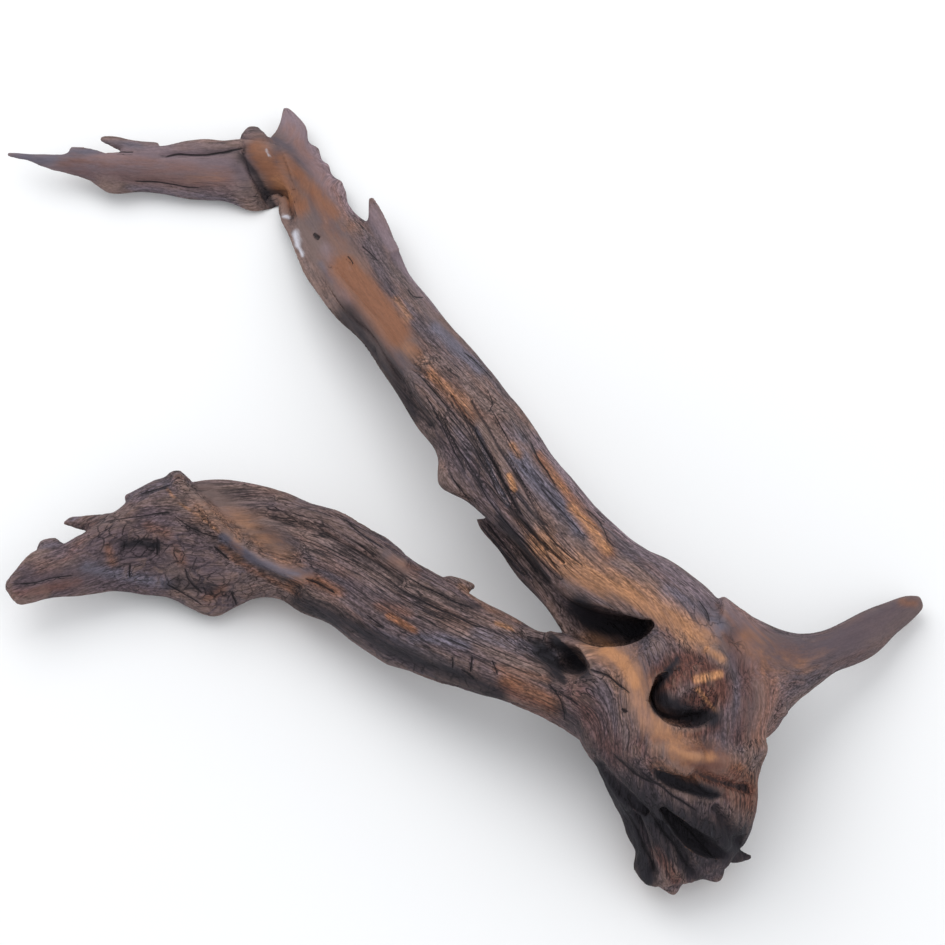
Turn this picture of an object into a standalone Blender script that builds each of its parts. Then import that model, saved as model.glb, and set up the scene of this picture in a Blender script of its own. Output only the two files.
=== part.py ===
"""Aquarium driftwood: one weathered, forked root that lies on three low points.

A thick stump carries two long limbs, a broken slab that folds back from the end of the
upper limb, a root spur and a split-off flap. It grew as one piece, so it is one solid.

Sizes are millimetres until the mesh is made. The wood was measured in one view, which
looks down at it: across and up are where a point shows in that view, and height is how
far the point lies above the ground.
"""
import itertools
import math

import bmesh
import bpy
import numpy as np

MM = 0.001

# The view that the wood was measured in
VIEW_TILT = math.radians(60.0)
VIEW_DISTANCE = 2000.0
VIEW_CENTRE = np.array((0.0, 0.0, 50.0))
RIGHT = np.array((1.0, 0.0, 0.0))
UP = np.array((0.0, math.sin(VIEW_TILT), math.cos(VIEW_TILT)))
TOWARD = np.array((0.0, -math.cos(VIEW_TILT), math.sin(VIEW_TILT)))
EYE = VIEW_CENTRE + VIEW_DISTANCE * TOWARD

# Limbs, as ribs: across and up of one edge, across and up of the other, height of the
# middle, half depth along the view
UPPER_LIMB = [
    (-115, 219, -110, 219, 14, 3),
    (-116, 208, -100, 208, 13, 5.5),
    (-122, 197, -98, 197, 11, 8),
    (-123, 185, -91, 186, 8, 10),
    (-118, 170, -80, 174, 7.5, 11.5),
    (-115, 155, -71, 156, 11.5, 13),
    (-108, 138, -48, 138, 20, 15),
    (-100, 122, -38, 121, 28, 17),
    (-90, 107, -27, 105, 36, 19),
    (-77, 90, -15, 91, 43, 21),
    (-63, 76, 3, 72, 49, 22.5),
    (-49, 54, 20, 50, 56, 24),
    (-34, 31, 33, 31, 61, 25),
    (-22, 12, 46, 14, 65, 26),
    (-19, -7, 58, -2, 68, 27),
    (-3, -18, 71, -17, 70, 27),
    (12, -30, 88, -31, 71, 27),
    (30, -50, 102, -45, 71, 28),
    (46, -70, 124, -57, 69, 30),
    (64, -96, 146, -73, 65, 33),
    (90, -126, 160, -96, 60, 34),
]
SLAB = [
    (-104, 186, -106, 166, 8, 3),
    (-119, 197, -119, 157, 10, 6.5),
    (-137, 200, -134, 155, 14.5, 8),
    (-150, 199, -148, 160, 15.5, 8),
    (-162, 200, -162, 163, 16, 7.5),
    (-184, 197, -182, 166, 16.5, 7),
    (-200, 196, -202, 168, 17, 6.5),
    (-213, 192, -219, 169, 17.5, 6),
    (-226, 192, -229, 175, 18, 5),
    (-242, 192, -245, 179, 19, 4.5),
    (-257, 192, -257, 182, 20, 4),
    (-268, 192, -267, 186, 21, 3.2),
    (-280, 192, -279, 189, 22, 2.2),
]
LOWER_LIMB = [
    (-281, -67, -273, -78, 31, 3.5),
    (-265, -47, -262, -76, 30, 7),
    (-248, -44, -248, -74, 29, 8.5),
    (-236, -37, -233, -74, 28, 10.5),
    (-216, -24, -214, -72, 27, 13),
    (-200, -11, -197, -73, 26, 16),
    (-184, -5, -183, -74, 26, 18),
    (-168, -7, -167, -81, 26.5, 19.5),
    (-151, -7, -154, -84, 27, 20),
    (-137, -8, -140, -79, 29, 20),
    (-123, -10, -128, -74, 31, 20),
    (-108, -14, -114, -75, 33, 20.5),
    (-91, -20, -102, -84, 36, 21),
    (-74, -27, -85, -93, 40, 22),
    (-49, -42, -65, -107, 45, 22.5),
    (-33, -54, -48, -116, 48, 23),
    (-6, -69, -24, -126, 53, 23),
    (21, -86, 0, -131, 56, 23),
    (44, -97, 25, -139, 57, 26),
    (70, -100, 50, -150, 57, 31),
    (104, -108, 78, -168, 57, 36),
]
STUMP = [
    (80, -84, 160, -82, 68, 26),
    (66, -106, 176, -96, 66, 35),
    (58, -128, 184, -114, 63, 40),
    (60, -147, 184, -136, 59, 42),
    (66, -163, 176, -158, 54, 42),
    (76, -177, 173, -177, 49, 41),
    (83, -191, 171, -194, 43, 38),
    (91, -205, 168, -209, 35, 35),
    (93, -216, 164, -221, 29, 32),
    (96, -228, 158, -230, 23, 25.5),
    (97, -239, 149, -239, 20, 19),
    (103, -247, 136, -246, 17, 13),
]
SPUR = [
    (150, -73, 140, -172, 58, 30),
    (167, -87, 176, -160, 56, 29),
    (180, -93, 190, -144, 51, 24),
    (193, -97, 203, -131, 44, 18.5),
    (207, -96, 216, -122, 37, 14),
    (224, -90, 229, -115, 29, 12),
    (241, -82, 243, -106, 21, 10.5),
    (257, -75, 258, -92, 14, 8),
    (268, -74, 270, -81, 10, 4),
]
FLAP = [
    (1, -27, 11, -28, 55, 4),
    (4, -33, 20, -33, 55, 6),
    (9, -39, 32, -40, 55, 8),
    (20, -52, 46, -54, 55, 10),
    (26, -59, 56, -62, 55, 11),
    (35, -69, 64, -76, 55, 13),
    (45, -81, 74, -92, 55, 15),
    (53, -93, 84, -104, 54, 16),
    (60, -104, 96, -112, 53, 18),
]
WEB = [
    (46, -95, 41, -100, 76, 5),
    (56, -100, 52, -108, 75, 10),
    (68, -105, 63, -117, 73, 14),
    (82, -104, 76, -128, 72, 17),
    (100, -104, 90, -138, 70, 20),
]

# Every limb, with the depth of its flutes
LIMBS = (
    (UPPER_LIMB, 2.2),
    (SLAB, 1.0),
    (LOWER_LIMB, 2.8),
    (STUMP, 3.4),
    (SPUR, 1.0),
    (FLAP, 2.2),
    (WEB, 0.8),
)

# Splinters, nubs and shreds: across, up, height, half width, half depth
SPIKES = {
    "edge spike": [(-50, 130, 28, 8, 7), (-56, 146, 22, 6, 5), (-61, 165, 19, 2, 1.8)],
    "high rim tooth": [(-96, 178, 9, 7, 6), (-95, 188, 9, 4.5, 5), (-95, 196, 9, 2.6, 2.6)],
    "elbow web": [(-108, 170, 11, 10, 9), (-112, 182, 12, 10, 9), (-115, 192, 13, 7, 7), (-116, 199, 13, 3, 3)],
    "middle rim tooth": [(-90, 166, 9, 8, 7), (-88, 177, 9, 4.5, 5), (-88, 186, 9, 2.6, 2.6)],
    "low rim tooth": [(-82, 153, 13, 8, 7), (-80, 166, 12, 5, 5), (-81, 176, 11, 2.6, 2.6)],
    "slab nub": [
        (-131, 186, 12, 9, 6), (-131, 196, 14, 9, 6), (-132, 203, 15, 7, 5), (-132, 208, 15, 3, 3),
    ],
    "slab tooth": [
        (-188, 193, 18, 5.5, 5), (-204, 195, 20, 4.5, 4), (-214, 198, 22, 3.5, 3), (-223, 200, 23, 2, 2),
    ],
    "slab sliver": [(-222, 187, 19, 5, 4), (-233, 192, 21, 4, 3), (-243, 195, 22, 2, 1.8)],
    "round nub": [
        (-170, -16, 38, 8, 8), (-175, -9, 40, 7.5, 7.5), (-178, -4, 41, 6.5, 6.5), (-179, 1, 41, 3.5, 4),
    ],
    "long nub": [
        (-172, -9, 36, 6, 6), (-186, -9, 35, 6.5, 6.5), (-199, -15, 33, 6, 6), (-208, -18, 31, 4, 4),
    ],
    "prong": [
        (-205, -36, 29, 10, 8), (-218, -33, 30, 8.5, 7), (-232, -31, 30, 6, 5), (-242, -30, 29, 4, 3.5),
        (-247, -31, 29, 1.8, 1.8),
    ],
    "end nub": [
        (-248, -60, 30, 10, 8), (-252, -50, 31, 9.5, 8), (-254, -43, 31, 8.5, 7), (-255, -39, 31, 5, 4),
    ],
    "end shred": [(-255, -68, 29, 6, 5), (-266, -73, 29, 4.5, 4), (-274, -77, 28, 2, 2)],
    "edge tooth": [(-16, -66, 62, 5, 5), (-4, -68, 62, 4, 4), (3, -69, 62, 1.8, 1.8)],
    "stump tip": [
        (113, -232, 22, 10, 10), (118, -243, 18, 8, 8), (121, -250, 15, 4.5, 4), (121, -254, 14, 2, 2),
    ],
    "stump lobe": [(140, -228, 24, 9, 9), (144, -238, 20, 8, 8), (144, -246, 18, 4.5, 5)],
    "stump splinter": [(150, -226, 22, 7, 7), (158, -230, 19, 5.5, 5), (169, -231, 17, 1.8, 1.8)],
    "shoulder knob": [(176, -140, 58, 9, 12), (186, -143, 56, 6, 9), (190, -145, 54, 3, 5)],
}

# Hollows cut into the wood, by the same five numbers
HOLLOWS = {
    "long trough": [
        (13, -31, 84, 2, 16), (25, -45, 84, 4, 20), (38, -62, 82, 6, 22), (50, -77, 80, 9, 24),
        (62, -88, 78, 12.5, 27), (78, -94, 75, 13.5, 30), (93, -95, 74, 11.5, 30),
        (103, -92, 74, 7, 28), (108, -89, 74, 3, 24),
    ],
    "blind notch": [
        (44, -101, 96, 4, 16), (50, -107, 92, 9, 20), (57, -112, 87, 11, 25),
        (63, -115, 83, 9, 27), (67, -117, 82, 5.5, 26), (70, -118, 82, 2, 22),
    ],
    "knot bowl": [
        (107, -130, 93, 8, 18), (114, -133, 93, 14, 24), (124, -135, 95, 18, 25),
        (136, -136, 98, 17, 21), (146, -136, 102, 13, 15), (153, -136, 106, 7, 8),
    ],
    "stump slot": [
        (68, -168, 70, 4, 12), (80, -183, 70, 6, 15), (92, -195, 68, 5.5, 14), (106, -206, 64, 3, 10),
    ],
    "stump gouge": [
        (113, -200, 68, 2.5, 8), (121, -209, 66, 4.5, 14), (133, -221, 59, 6.5, 18),
        (146, -229, 51, 5, 16), (157, -233, 45, 2.5, 10),
    ],
    "stump pocket": [
        (108, -177, 90, 3, 8), (118, -182, 87, 7, 13), (128, -186, 85, 7, 14),
        (139, -193, 82, 4, 12), (154, -195, 80, 3, 8),
    ],
    "belly hollow": [
        (96, -100, 2, 10, 12), (116, -124, -2, 20, 22), (124, -150, -8, 20, 22), (126, -172, -10, 12, 14),
    ],
    "limb hollow": [
        (-20, 44, 20, 4, 8), (0, 14, 24, 9, 13), (24, -12, 28, 11, 15), (48, -38, 30, 8, 12),
    ],
}
HOLLOW_ROUGHNESS = 2.0
# What stands inside a hollow
PLUGS = {
    "knot heart": [
        (110, -140, 73, 7, 10), (117, -137, 77, 13, 15), (127, -131, 80, 18.5, 18),
        (139, -127, 82, 19, 18), (152, -123, 83, 12, 15),
    ],
}

# Relief worked into the face: its line, its width on the left and on the right of that
# line, and how deep it is (raised where that is below nought)
RELIEF = {
    "upper channel": ([(-104, 170), (-84, 128), (-60, 100), (-38, 74)], 12, 17, 7),
    "channel lip": ([(-84, 122), (-72, 106), (-56, 88), (-40, 62), (-20, 36)], 5, 7, -4.5),
    "side band": ([(-92, 118), (-80, 98), (-62, 74), (-46, 54), (-28, 30)], 6, 5, 4.5),
    "elbow fold": ([(-136, 194), (-128, 176), (-117, 157)], 6, 3, 7),
    "slab scoop": ([(-232, 185), (-200, 184), (-160, 183), (-136, 180)], 9, 8, 2.6),
    "slab rim groove": ([(-186, 191), (-160, 192), (-138, 194)], 1.8, 1.8, 1.6),
    "long check": ([(-12, 46), (8, 16), (22, -12), (34, -34), (54, -54)], 1.6, 1.6, 3),
    "second check": ([(0, 44), (16, 16), (30, -8), (42, -30)], 1.5, 1.5, 2.2),
    "limb keel": ([(20, 30), (40, 4), (58, -22), (76, -42)], 8, 10, -3.5),
    "upper edge bead": ([(-116, -16), (-92, -26), (-66, -40), (-42, -56)], 3.5, 3, -3.2),
    "bead groove": ([(-120, -24), (-94, -34), (-68, -49), (-44, -64)], 4, 4, 3.4),
    "helical ridge": (
        [(-176, -6), (-163, -18), (-149, -34), (-139, -43), (-121, -55), (-98, -63)], 4.5, 4, -6.5,
    ),
    "smooth scoop": ([(-164, -10), (-146, -24), (-132, -36), (-112, -46)], 12, 11, 6.5),
    "ridge groove": ([(-166, -34), (-150, -46), (-132, -57), (-108, -70)], 6, 6, 5),
    "paddle knot": ([(-208, -46), (-194, -47)], 7, 7, 5.5),
    "paddle shoulder": ([(-178, -66), (-162, -72), (-146, -76)], 6, 6, 4),
    "knot collar": ([(110, -106), (97, -122), (97, -142), (108, -160), (130, -168)], 7, 7, -4.5),
    "knot knob": ([(144, -108), (149, -114)], 4.5, 4.5, -5),
    "stump brow": ([(100, -168), (124, -172), (148, -174), (170, -166)], 7, 8, -6),
    "left flute": ([(97, -206), (103, -222), (108, -240)], 3, 3, 5),
    "middle flute": ([(112, -212), (124, -228), (132, -242)], 3, 3, 5),
    "right flute": ([(146, -202), (154, -214), (160, -222)], 3.5, 3.5, 5),
    "brow flute": ([(134, -180), (150, -186), (166, -190)], 3, 3, 4),
    "notch slope": ([(34, -106), (44, -113), (54, -120)], 4, 9, 7),
    "spur hollow": ([(160, -120), (178, -116), (200, -112)], 8, 8, 3),
}

# Relief starts on wood turned this much toward the eye, and is full on wood turned that much
RELIEF_STARTS = 0.05
RELIEF_FULL = 0.55

# Flutes run along the grain in a slow spiral. They are at most this share of the limb's
# radius deep, and deeper by the last share on the far side than on the face.
FLUTE_WIDTH = 13.0
FLUTE_LENGTH = 75.0
FLUTE_SPIRAL = 0.004
FLUTE_SHARE = 0.16
FLUTE_FAR_SIDE = 0.45
# A thin limb carries flutes as if this much thicker
FLUTE_THICKER = 6.0
# Broad lumps over all the wood
LUMP_SIZE = 26.0
LUMP_HEIGHT = 1.8

LUMP_SEED = 77
HOLLOW_SEED = 200
PLUG_SEED = 300

RIB_SPACING = 4.0
RIB_POINTS = 56
STROKE_SPACING = 3.0
VOXEL = 2.0
SOFTENING = 2
TRIANGLES = 11000
# Where the middle of the wood's outline falls in the measured view's frame
MIDDLE = np.array((-15.1, 18.9, 0.0))

WOOD_COLOUR = (0.105, 0.066, 0.050)
WOOD_ROUGHNESS = 0.82


def noise(points, seed):
    """Smooth random values, from -1 to 1, at the rows of points."""
    cell = np.floor(points).astype(np.int64)
    part = points - cell
    part = part * part * (3 - 2 * part)
    total = np.zeros(len(points))
    for corner in itertools.product((0, 1), repeat=3):
        at = cell + corner
        mixed = at[:, 0] * 73856093 ^ at[:, 1] * 19349663 ^ at[:, 2] * 83492791 ^ seed * 912931
        mixed = (mixed ^ (mixed >> 13)) * 1274126177 & 0xFFFFFF
        share = np.prod(np.where(corner, part, 1 - part), axis=1)
        total += share * (mixed / 0x7FFFFF - 1)
    return total


def place(across, up, height):
    """The point at this height that shows at (across, up), and its scale in the view."""
    shown = VIEW_CENTRE + across * RIGHT + up * UP
    ray = shown - EYE
    scale = (height - EYE[2]) / ray[2]
    return EYE + scale * ray, scale


def shown_at(points):
    """Where points show in the view, as across and up."""
    from_centre = points - VIEW_CENTRE
    scale = VIEW_DISTANCE / (VIEW_DISTANCE - from_centre @ TOWARD)
    return np.stack((from_centre @ RIGHT * scale, from_centre @ UP * scale), axis=1)


def curve_through(rows, spacing):
    """Rows along a Catmull-Rom curve through the given ones, about this far apart."""
    rows = np.array(rows, float)
    padded = np.vstack((2 * rows[0] - rows[1], rows, 2 * rows[-1] - rows[-2]))
    made = []
    for before, start, end, after in zip(padded, padded[1:], padded[2:], padded[3:]):
        count = max(1, round(np.linalg.norm((end - start)[:2]) / spacing))
        for t in np.arange(count) / count:
            bend = 2 * before - 5 * start + 4 * end - after
            last = 3 * start - before - 3 * end + after
            made.append(0.5 * (2 * start + (end - before) * t + bend * t**2 + last * t**3))
    return np.array(made + [rows[-1]])


def sections_of_ribs(ribs):
    """Middle, half axis across the limb and half axis toward the eye of each section."""
    made = []
    for across, up, other_across, other_up, height, depth in curve_through(ribs, RIB_SPACING):
        middle, scale = place((across + other_across) / 2, (up + other_up) / 2, height)
        wide = ((across - other_across) * RIGHT + (up - other_up) * UP) / 2
        made.append((middle, wide * scale, TOWARD * depth))
    return made


def sections_of_line(stations):
    """The same for stations that give a half width, square to their own line."""
    rows = curve_through(stations, RIB_SPACING)
    along = np.gradient(rows[:, :2], axis=0)
    along /= np.linalg.norm(along, axis=1)[:, None]
    made = []
    for row, way in zip(rows, along):
        middle, scale = place(*row[:3])
        side = way[1] * RIGHT - way[0] * UP
        made.append((middle, side * row[3] * scale, TOWARD * row[4]))
    return made


def flutes(sections, angles, depth, seed):
    """How far each point of each section stands out: spiral flutes, deeper on the far side."""
    middles = np.array([section[0] for section in sections])
    steps = np.linalg.norm(np.diff(middles, axis=0), axis=1)
    along = np.concatenate(((0.0,), np.cumsum(steps)))
    sizes = np.array([min(np.linalg.norm(wide), np.linalg.norm(deep)) for _, wide, deep in sections])
    turned = angles[None, :] + FLUTE_SPIRAL * along[:, None]
    round_limb = (sizes + FLUTE_THICKER)[:, None] / FLUTE_WIDTH
    ways = (
        np.cos(turned) * round_limb,
        np.sin(turned) * round_limb,
        np.broadcast_to(along[:, None] / FLUTE_LENGTH, turned.shape),
    )
    at = np.stack(ways, axis=2).reshape(-1, 3)
    ridged = 0.6 - 2 * np.abs(noise(at, seed)) + 0.6 * noise(2.1 * at + 9.0, seed + 1)
    height = np.minimum(depth, FLUTE_SHARE * sizes)[:, None]
    return ridged.reshape(turned.shape) * height * (1 - FLUTE_FAR_SIDE * np.sin(angles))


def loft(bm, sections, flute_depth=0.0, seed=0):
    """A closed tube through unlike elliptical sections."""
    angles = np.arange(RIB_POINTS) * 2 * math.pi / RIB_POINTS
    proud = flutes(sections, angles, flute_depth, seed)
    rings = []
    for (middle, wide, deep), outward in zip(sections, proud):
        rim = np.cos(angles)[:, None] * wide + np.sin(angles)[:, None] * deep
        rim *= 1 + (outward / np.linalg.norm(rim, axis=1))[:, None]
        rings.append([bm.verts.new(point) for point in (middle + rim) * MM])
    for ring in rings:
        for i in range(RIB_POINTS):
            bm.edges.new((ring[i - 1], ring[i]))
    bm.faces.new(rings[0])
    bm.faces.new(rings[-1])
    for first, second in zip(rings, rings[1:]):
        for i in range(RIB_POINTS):
            bm.faces.new((first[i - 1], first[i], second[i], second[i - 1]))


def new_object(name, bm, collection):
    bmesh.ops.recalc_face_normals(bm, faces=bm.faces)
    mesh = bpy.data.meshes.new(name)
    bm.to_mesh(mesh)
    bm.free()
    obj = bpy.data.objects.new(name, mesh)
    collection.objects.link(obj)
    return obj


def raw_wood(collection):
    bm = bmesh.new()
    for seed, (ribs, flute_depth) in enumerate(LIMBS):
        loft(bm, sections_of_ribs(ribs), flute_depth, 10 * seed)
    for stations in SPIKES.values():
        loft(bm, sections_of_line(stations))
    return new_object("driftwood", bm, collection)


def hollow_cutters(collection):
    made = []
    for name, stations in HOLLOWS.items():
        bm = bmesh.new()
        loft(bm, sections_of_line(stations), HOLLOW_ROUGHNESS, HOLLOW_SEED + len(made))
        cutter = new_object("cutter " + name, bm, collection)
        cutter.hide_render = True
        cutter.display_type = "WIRE"
        made.append(cutter)
    return made


def add_plugs(mesh):
    bm = bmesh.new()
    bm.from_mesh(mesh)
    for stations in PLUGS.values():
        loft(bm, sections_of_line(stations), HOLLOW_ROUGHNESS, PLUG_SEED)
    bmesh.ops.recalc_face_normals(bm, faces=bm.faces)
    bm.to_mesh(mesh)
    bm.free()


def fuse(obj):
    """Modifiers that turn overlapping shapes into one even skin."""
    remesh = obj.modifiers.new("fuse", "REMESH")
    remesh.mode = "VOXEL"
    remesh.voxel_size = VOXEL * MM
    soften = obj.modifiers.new("soften", "SMOOTH")
    soften.factor = 0.5
    soften.iterations = SOFTENING


def apply_modifiers(obj):
    graph = bpy.context.evaluated_depsgraph_get()
    shaped = bpy.data.meshes.new_from_object(obj.evaluated_get(graph))
    obj.modifiers.clear()
    obj.data = shaped


def vertex_array(mesh, source, name):
    values = np.empty(len(mesh.vertices) * 3, np.float32)
    source.foreach_get(name, values)
    return values.reshape(-1, 3).astype(float)


def stroke_depth(shown, line, left, right):
    """1 on the line, falling off smoothly at its left and its right."""
    line = curve_through(line, STROKE_SPACING)
    nearest = np.full(len(shown), np.inf)
    side = np.zeros(len(shown))
    for start, end in zip(line, line[1:]):
        way = end - start
        share = np.clip((shown - start) @ way / (way @ way), 0, 1)
        off = shown - start - share[:, None] * way
        distance = np.hypot(*off.T)
        closer = distance < nearest
        nearest[closer] = distance[closer]
        side[closer] = (way[0] * off[:, 1] - way[1] * off[:, 0])[closer]
    width = np.where(side > 0, left, right)
    return np.exp(-((nearest / width) ** 2))


def work_face(mesh):
    """Presses the relief into the side that faces the view, and lumps into every side."""
    points = vertex_array(mesh, mesh.vertices, "co") / MM
    normals = vertex_array(mesh, mesh.vertex_normals, "vector")
    shown = shown_at(points)
    facing = np.clip((normals @ TOWARD - RELIEF_STARTS) / (RELIEF_FULL - RELIEF_STARTS), 0, 1)
    pressed = np.zeros(len(points))
    for line, left, right, depth in RELIEF.values():
        pressed += depth * stroke_depth(shown, line, left, right)
    raised = LUMP_HEIGHT * noise(points / LUMP_SIZE, LUMP_SEED) - pressed * facing
    points += normals * raised[:, None]
    mesh.vertices.foreach_set("co", (points * MM).astype(np.float32).ravel())
    mesh.update()


def stand_on_ground(mesh):
    """Moves the wood's middle to the origin and cuts its three low points flat."""
    bm = bmesh.new()
    bm.from_mesh(mesh)
    bmesh.ops.translate(bm, vec=-MIDDLE * MM, verts=bm.verts)
    everything = bm.verts[:] + bm.edges[:] + bm.faces[:]
    cut = bmesh.ops.bisect_plane(
        bm, geom=everything, dist=1e-7, plane_co=(0, 0, 0), plane_no=(0, 0, -1), clear_outer=True
    )
    rims = [item for item in cut["geom_cut"] if isinstance(item, bmesh.types.BMEdge)]
    bmesh.ops.contextual_create(bm, geom=rims)
    bmesh.ops.triangulate(bm, faces=bm.faces[:])
    bm.to_mesh(mesh)
    bm.free()


def weathered_wood():
    material = bpy.data.materials.new("weathered driftwood")
    material.use_nodes = True
    shader = material.node_tree.nodes["Principled BSDF"]
    shader.inputs["Base Color"].default_value = (*WOOD_COLOUR, 1)
    shader.inputs["Roughness"].default_value = WOOD_ROUGHNESS
    shader.inputs["Metallic"].default_value = 0
    return material


def main():
    for obj in list(bpy.data.objects):
        bpy.data.objects.remove(obj)
    part = bpy.data.collections.new("aquarium driftwood")
    cutters = bpy.data.collections.new("cutters")
    for collection in (part, cutters):
        bpy.context.scene.collection.children.link(collection)

    wood = raw_wood(part)
    fuse(wood)
    apply_modifiers(wood)
    for cutter in hollow_cutters(cutters):
        cut = wood.modifiers.new(cutter.name, "BOOLEAN")
        cut.operation = "DIFFERENCE"
        cut.object = cutter
    apply_modifiers(wood)
    add_plugs(wood.data)
    fuse(wood)
    apply_modifiers(wood)
    work_face(wood.data)
    thin = wood.modifiers.new("thin out", "DECIMATE")
    thin.ratio = TRIANGLES / (2 * len(wood.data.polygons))
    apply_modifiers(wood)
    stand_on_ground(wood.data)
    wood.data.shade_smooth()
    wood.data.materials.append(weathered_wood())


main()
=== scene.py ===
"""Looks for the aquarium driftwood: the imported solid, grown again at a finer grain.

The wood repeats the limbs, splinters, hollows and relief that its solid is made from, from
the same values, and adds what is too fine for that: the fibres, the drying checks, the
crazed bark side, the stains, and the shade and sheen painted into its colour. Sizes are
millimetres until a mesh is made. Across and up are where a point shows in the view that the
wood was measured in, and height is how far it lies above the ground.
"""

import itertools
import math

import bmesh
import bpy
import numpy as np
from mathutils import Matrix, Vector


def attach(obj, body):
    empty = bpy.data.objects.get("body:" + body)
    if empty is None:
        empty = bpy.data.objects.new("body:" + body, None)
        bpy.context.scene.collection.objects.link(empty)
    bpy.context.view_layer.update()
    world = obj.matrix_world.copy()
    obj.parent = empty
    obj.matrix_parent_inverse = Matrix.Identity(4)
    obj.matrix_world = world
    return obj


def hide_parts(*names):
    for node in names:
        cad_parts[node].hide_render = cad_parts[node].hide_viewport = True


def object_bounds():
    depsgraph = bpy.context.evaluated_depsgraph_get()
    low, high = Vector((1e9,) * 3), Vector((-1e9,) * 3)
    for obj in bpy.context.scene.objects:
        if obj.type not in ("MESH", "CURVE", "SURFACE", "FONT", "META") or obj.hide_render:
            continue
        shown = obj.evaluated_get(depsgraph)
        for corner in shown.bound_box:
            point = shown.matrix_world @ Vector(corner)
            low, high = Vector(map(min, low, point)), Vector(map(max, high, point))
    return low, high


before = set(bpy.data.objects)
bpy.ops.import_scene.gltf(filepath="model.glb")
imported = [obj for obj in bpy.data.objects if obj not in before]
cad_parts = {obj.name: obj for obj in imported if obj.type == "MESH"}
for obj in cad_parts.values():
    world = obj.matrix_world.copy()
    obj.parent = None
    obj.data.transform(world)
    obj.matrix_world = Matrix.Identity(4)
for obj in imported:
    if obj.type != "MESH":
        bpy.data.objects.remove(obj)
cad_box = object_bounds()

MM = 0.001

# The view that the wood was measured in, and how wide it is across its middle
VIEW_TILT = math.radians(60.0)
VIEW_DISTANCE = 2000.0
VIEW_WIDTH = 567.0
VIEW_CENTRE = np.array((0.0, 0.0, 50.0))
RIGHT = np.array((1.0, 0.0, 0.0))
UP = np.array((0.0, math.sin(VIEW_TILT), math.cos(VIEW_TILT)))
TOWARD = np.array((0.0, -math.cos(VIEW_TILT), math.sin(VIEW_TILT)))
EYE = VIEW_CENTRE + VIEW_DISTANCE * TOWARD

# Limbs, as ribs: across and up of one edge, across and up of the other, height of the
# middle, half depth along the view
UPPER_LIMB = [
    (-115, 219, -110, 219, 14, 3), (-116, 208, -100, 208, 13, 5.5), (-122, 197, -98, 197, 11, 8),
    (-123, 185, -91, 186, 8, 10), (-118, 170, -80, 174, 7.5, 11.5),
    (-115, 155, -71, 156, 11.5, 13), (-108, 138, -48, 138, 20, 15), (-100, 122, -38, 121, 28, 17),
    (-90, 107, -27, 105, 36, 19), (-77, 90, -15, 91, 43, 21), (-63, 76, 3, 72, 49, 22.5),
    (-49, 54, 20, 50, 56, 24), (-34, 31, 33, 31, 61, 25), (-22, 12, 46, 14, 65, 26),
    (-19, -7, 58, -2, 68, 27), (-3, -18, 71, -17, 70, 27), (12, -30, 88, -31, 71, 27),
    (30, -50, 102, -45, 71, 28), (46, -70, 124, -57, 69, 30), (64, -96, 146, -73, 65, 33),
    (90, -126, 160, -96, 60, 34),
]
SLAB = [
    (-104, 186, -106, 166, 8, 3), (-119, 197, -119, 157, 10, 6.5),
    (-137, 200, -134, 155, 14.5, 8), (-150, 199, -148, 160, 15.5, 8),
    (-162, 200, -162, 163, 16, 7.5), (-184, 197, -182, 166, 16.5, 7),
    (-200, 196, -202, 168, 17, 6.5), (-213, 192, -219, 169, 17.5, 6),
    (-226, 192, -229, 175, 18, 5), (-242, 192, -245, 179, 19, 4.5), (-257, 192, -257, 182, 20, 4),
    (-268, 192, -267, 186, 21, 3.2), (-280, 192, -279, 189, 22, 2.2),
]
LOWER_LIMB = [
    (-281, -67, -273, -78, 31, 3.5), (-265, -47, -262, -76, 30, 7),
    (-248, -44, -248, -74, 29, 8.5), (-236, -37, -233, -74, 28, 10.5),
    (-216, -24, -214, -72, 27, 13), (-200, -11, -197, -73, 26, 16), (-184, -5, -183, -74, 26, 18),
    (-168, -7, -167, -81, 26.5, 19.5), (-151, -7, -154, -84, 27, 20),
    (-137, -8, -140, -79, 29, 20), (-123, -10, -128, -74, 31, 20),
    (-108, -14, -114, -75, 33, 20.5), (-91, -20, -102, -84, 36, 21), (-74, -27, -85, -93, 40, 22),
    (-49, -42, -65, -107, 45, 22.5), (-33, -54, -48, -116, 48, 23), (-6, -69, -24, -126, 53, 23),
    (21, -86, 0, -131, 56, 23), (44, -97, 25, -139, 57, 26), (70, -100, 50, -150, 57, 31),
    (104, -108, 78, -168, 57, 36),
]
STUMP = [
    (80, -84, 160, -82, 68, 26), (66, -106, 176, -96, 66, 35), (58, -128, 184, -114, 63, 40),
    (60, -147, 184, -136, 59, 42), (66, -163, 176, -158, 54, 42), (76, -177, 173, -177, 49, 41),
    (83, -191, 171, -194, 43, 38), (91, -205, 168, -209, 35, 35), (93, -216, 164, -221, 29, 32),
    (96, -228, 158, -230, 23, 25.5), (97, -239, 149, -239, 20, 19),
    (103, -247, 136, -246, 17, 13),
]
SPUR = [
    (150, -73, 140, -172, 58, 30), (167, -87, 176, -160, 56, 29), (180, -93, 190, -144, 51, 24),
    (193, -97, 203, -131, 44, 18.5), (207, -96, 216, -122, 37, 14), (224, -90, 229, -115, 29, 12),
    (241, -82, 243, -106, 21, 10.5), (257, -75, 258, -92, 14, 8), (268, -74, 270, -81, 10, 4),
]
FLAP = [
    (1, -27, 11, -28, 55, 4), (4, -33, 20, -33, 55, 6), (9, -39, 32, -40, 55, 8),
    (20, -52, 46, -54, 55, 10), (26, -59, 56, -62, 55, 11), (35, -69, 64, -76, 55, 13),
    (45, -81, 74, -92, 55, 15), (53, -93, 84, -104, 54, 16), (60, -104, 96, -112, 53, 18),
]
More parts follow.
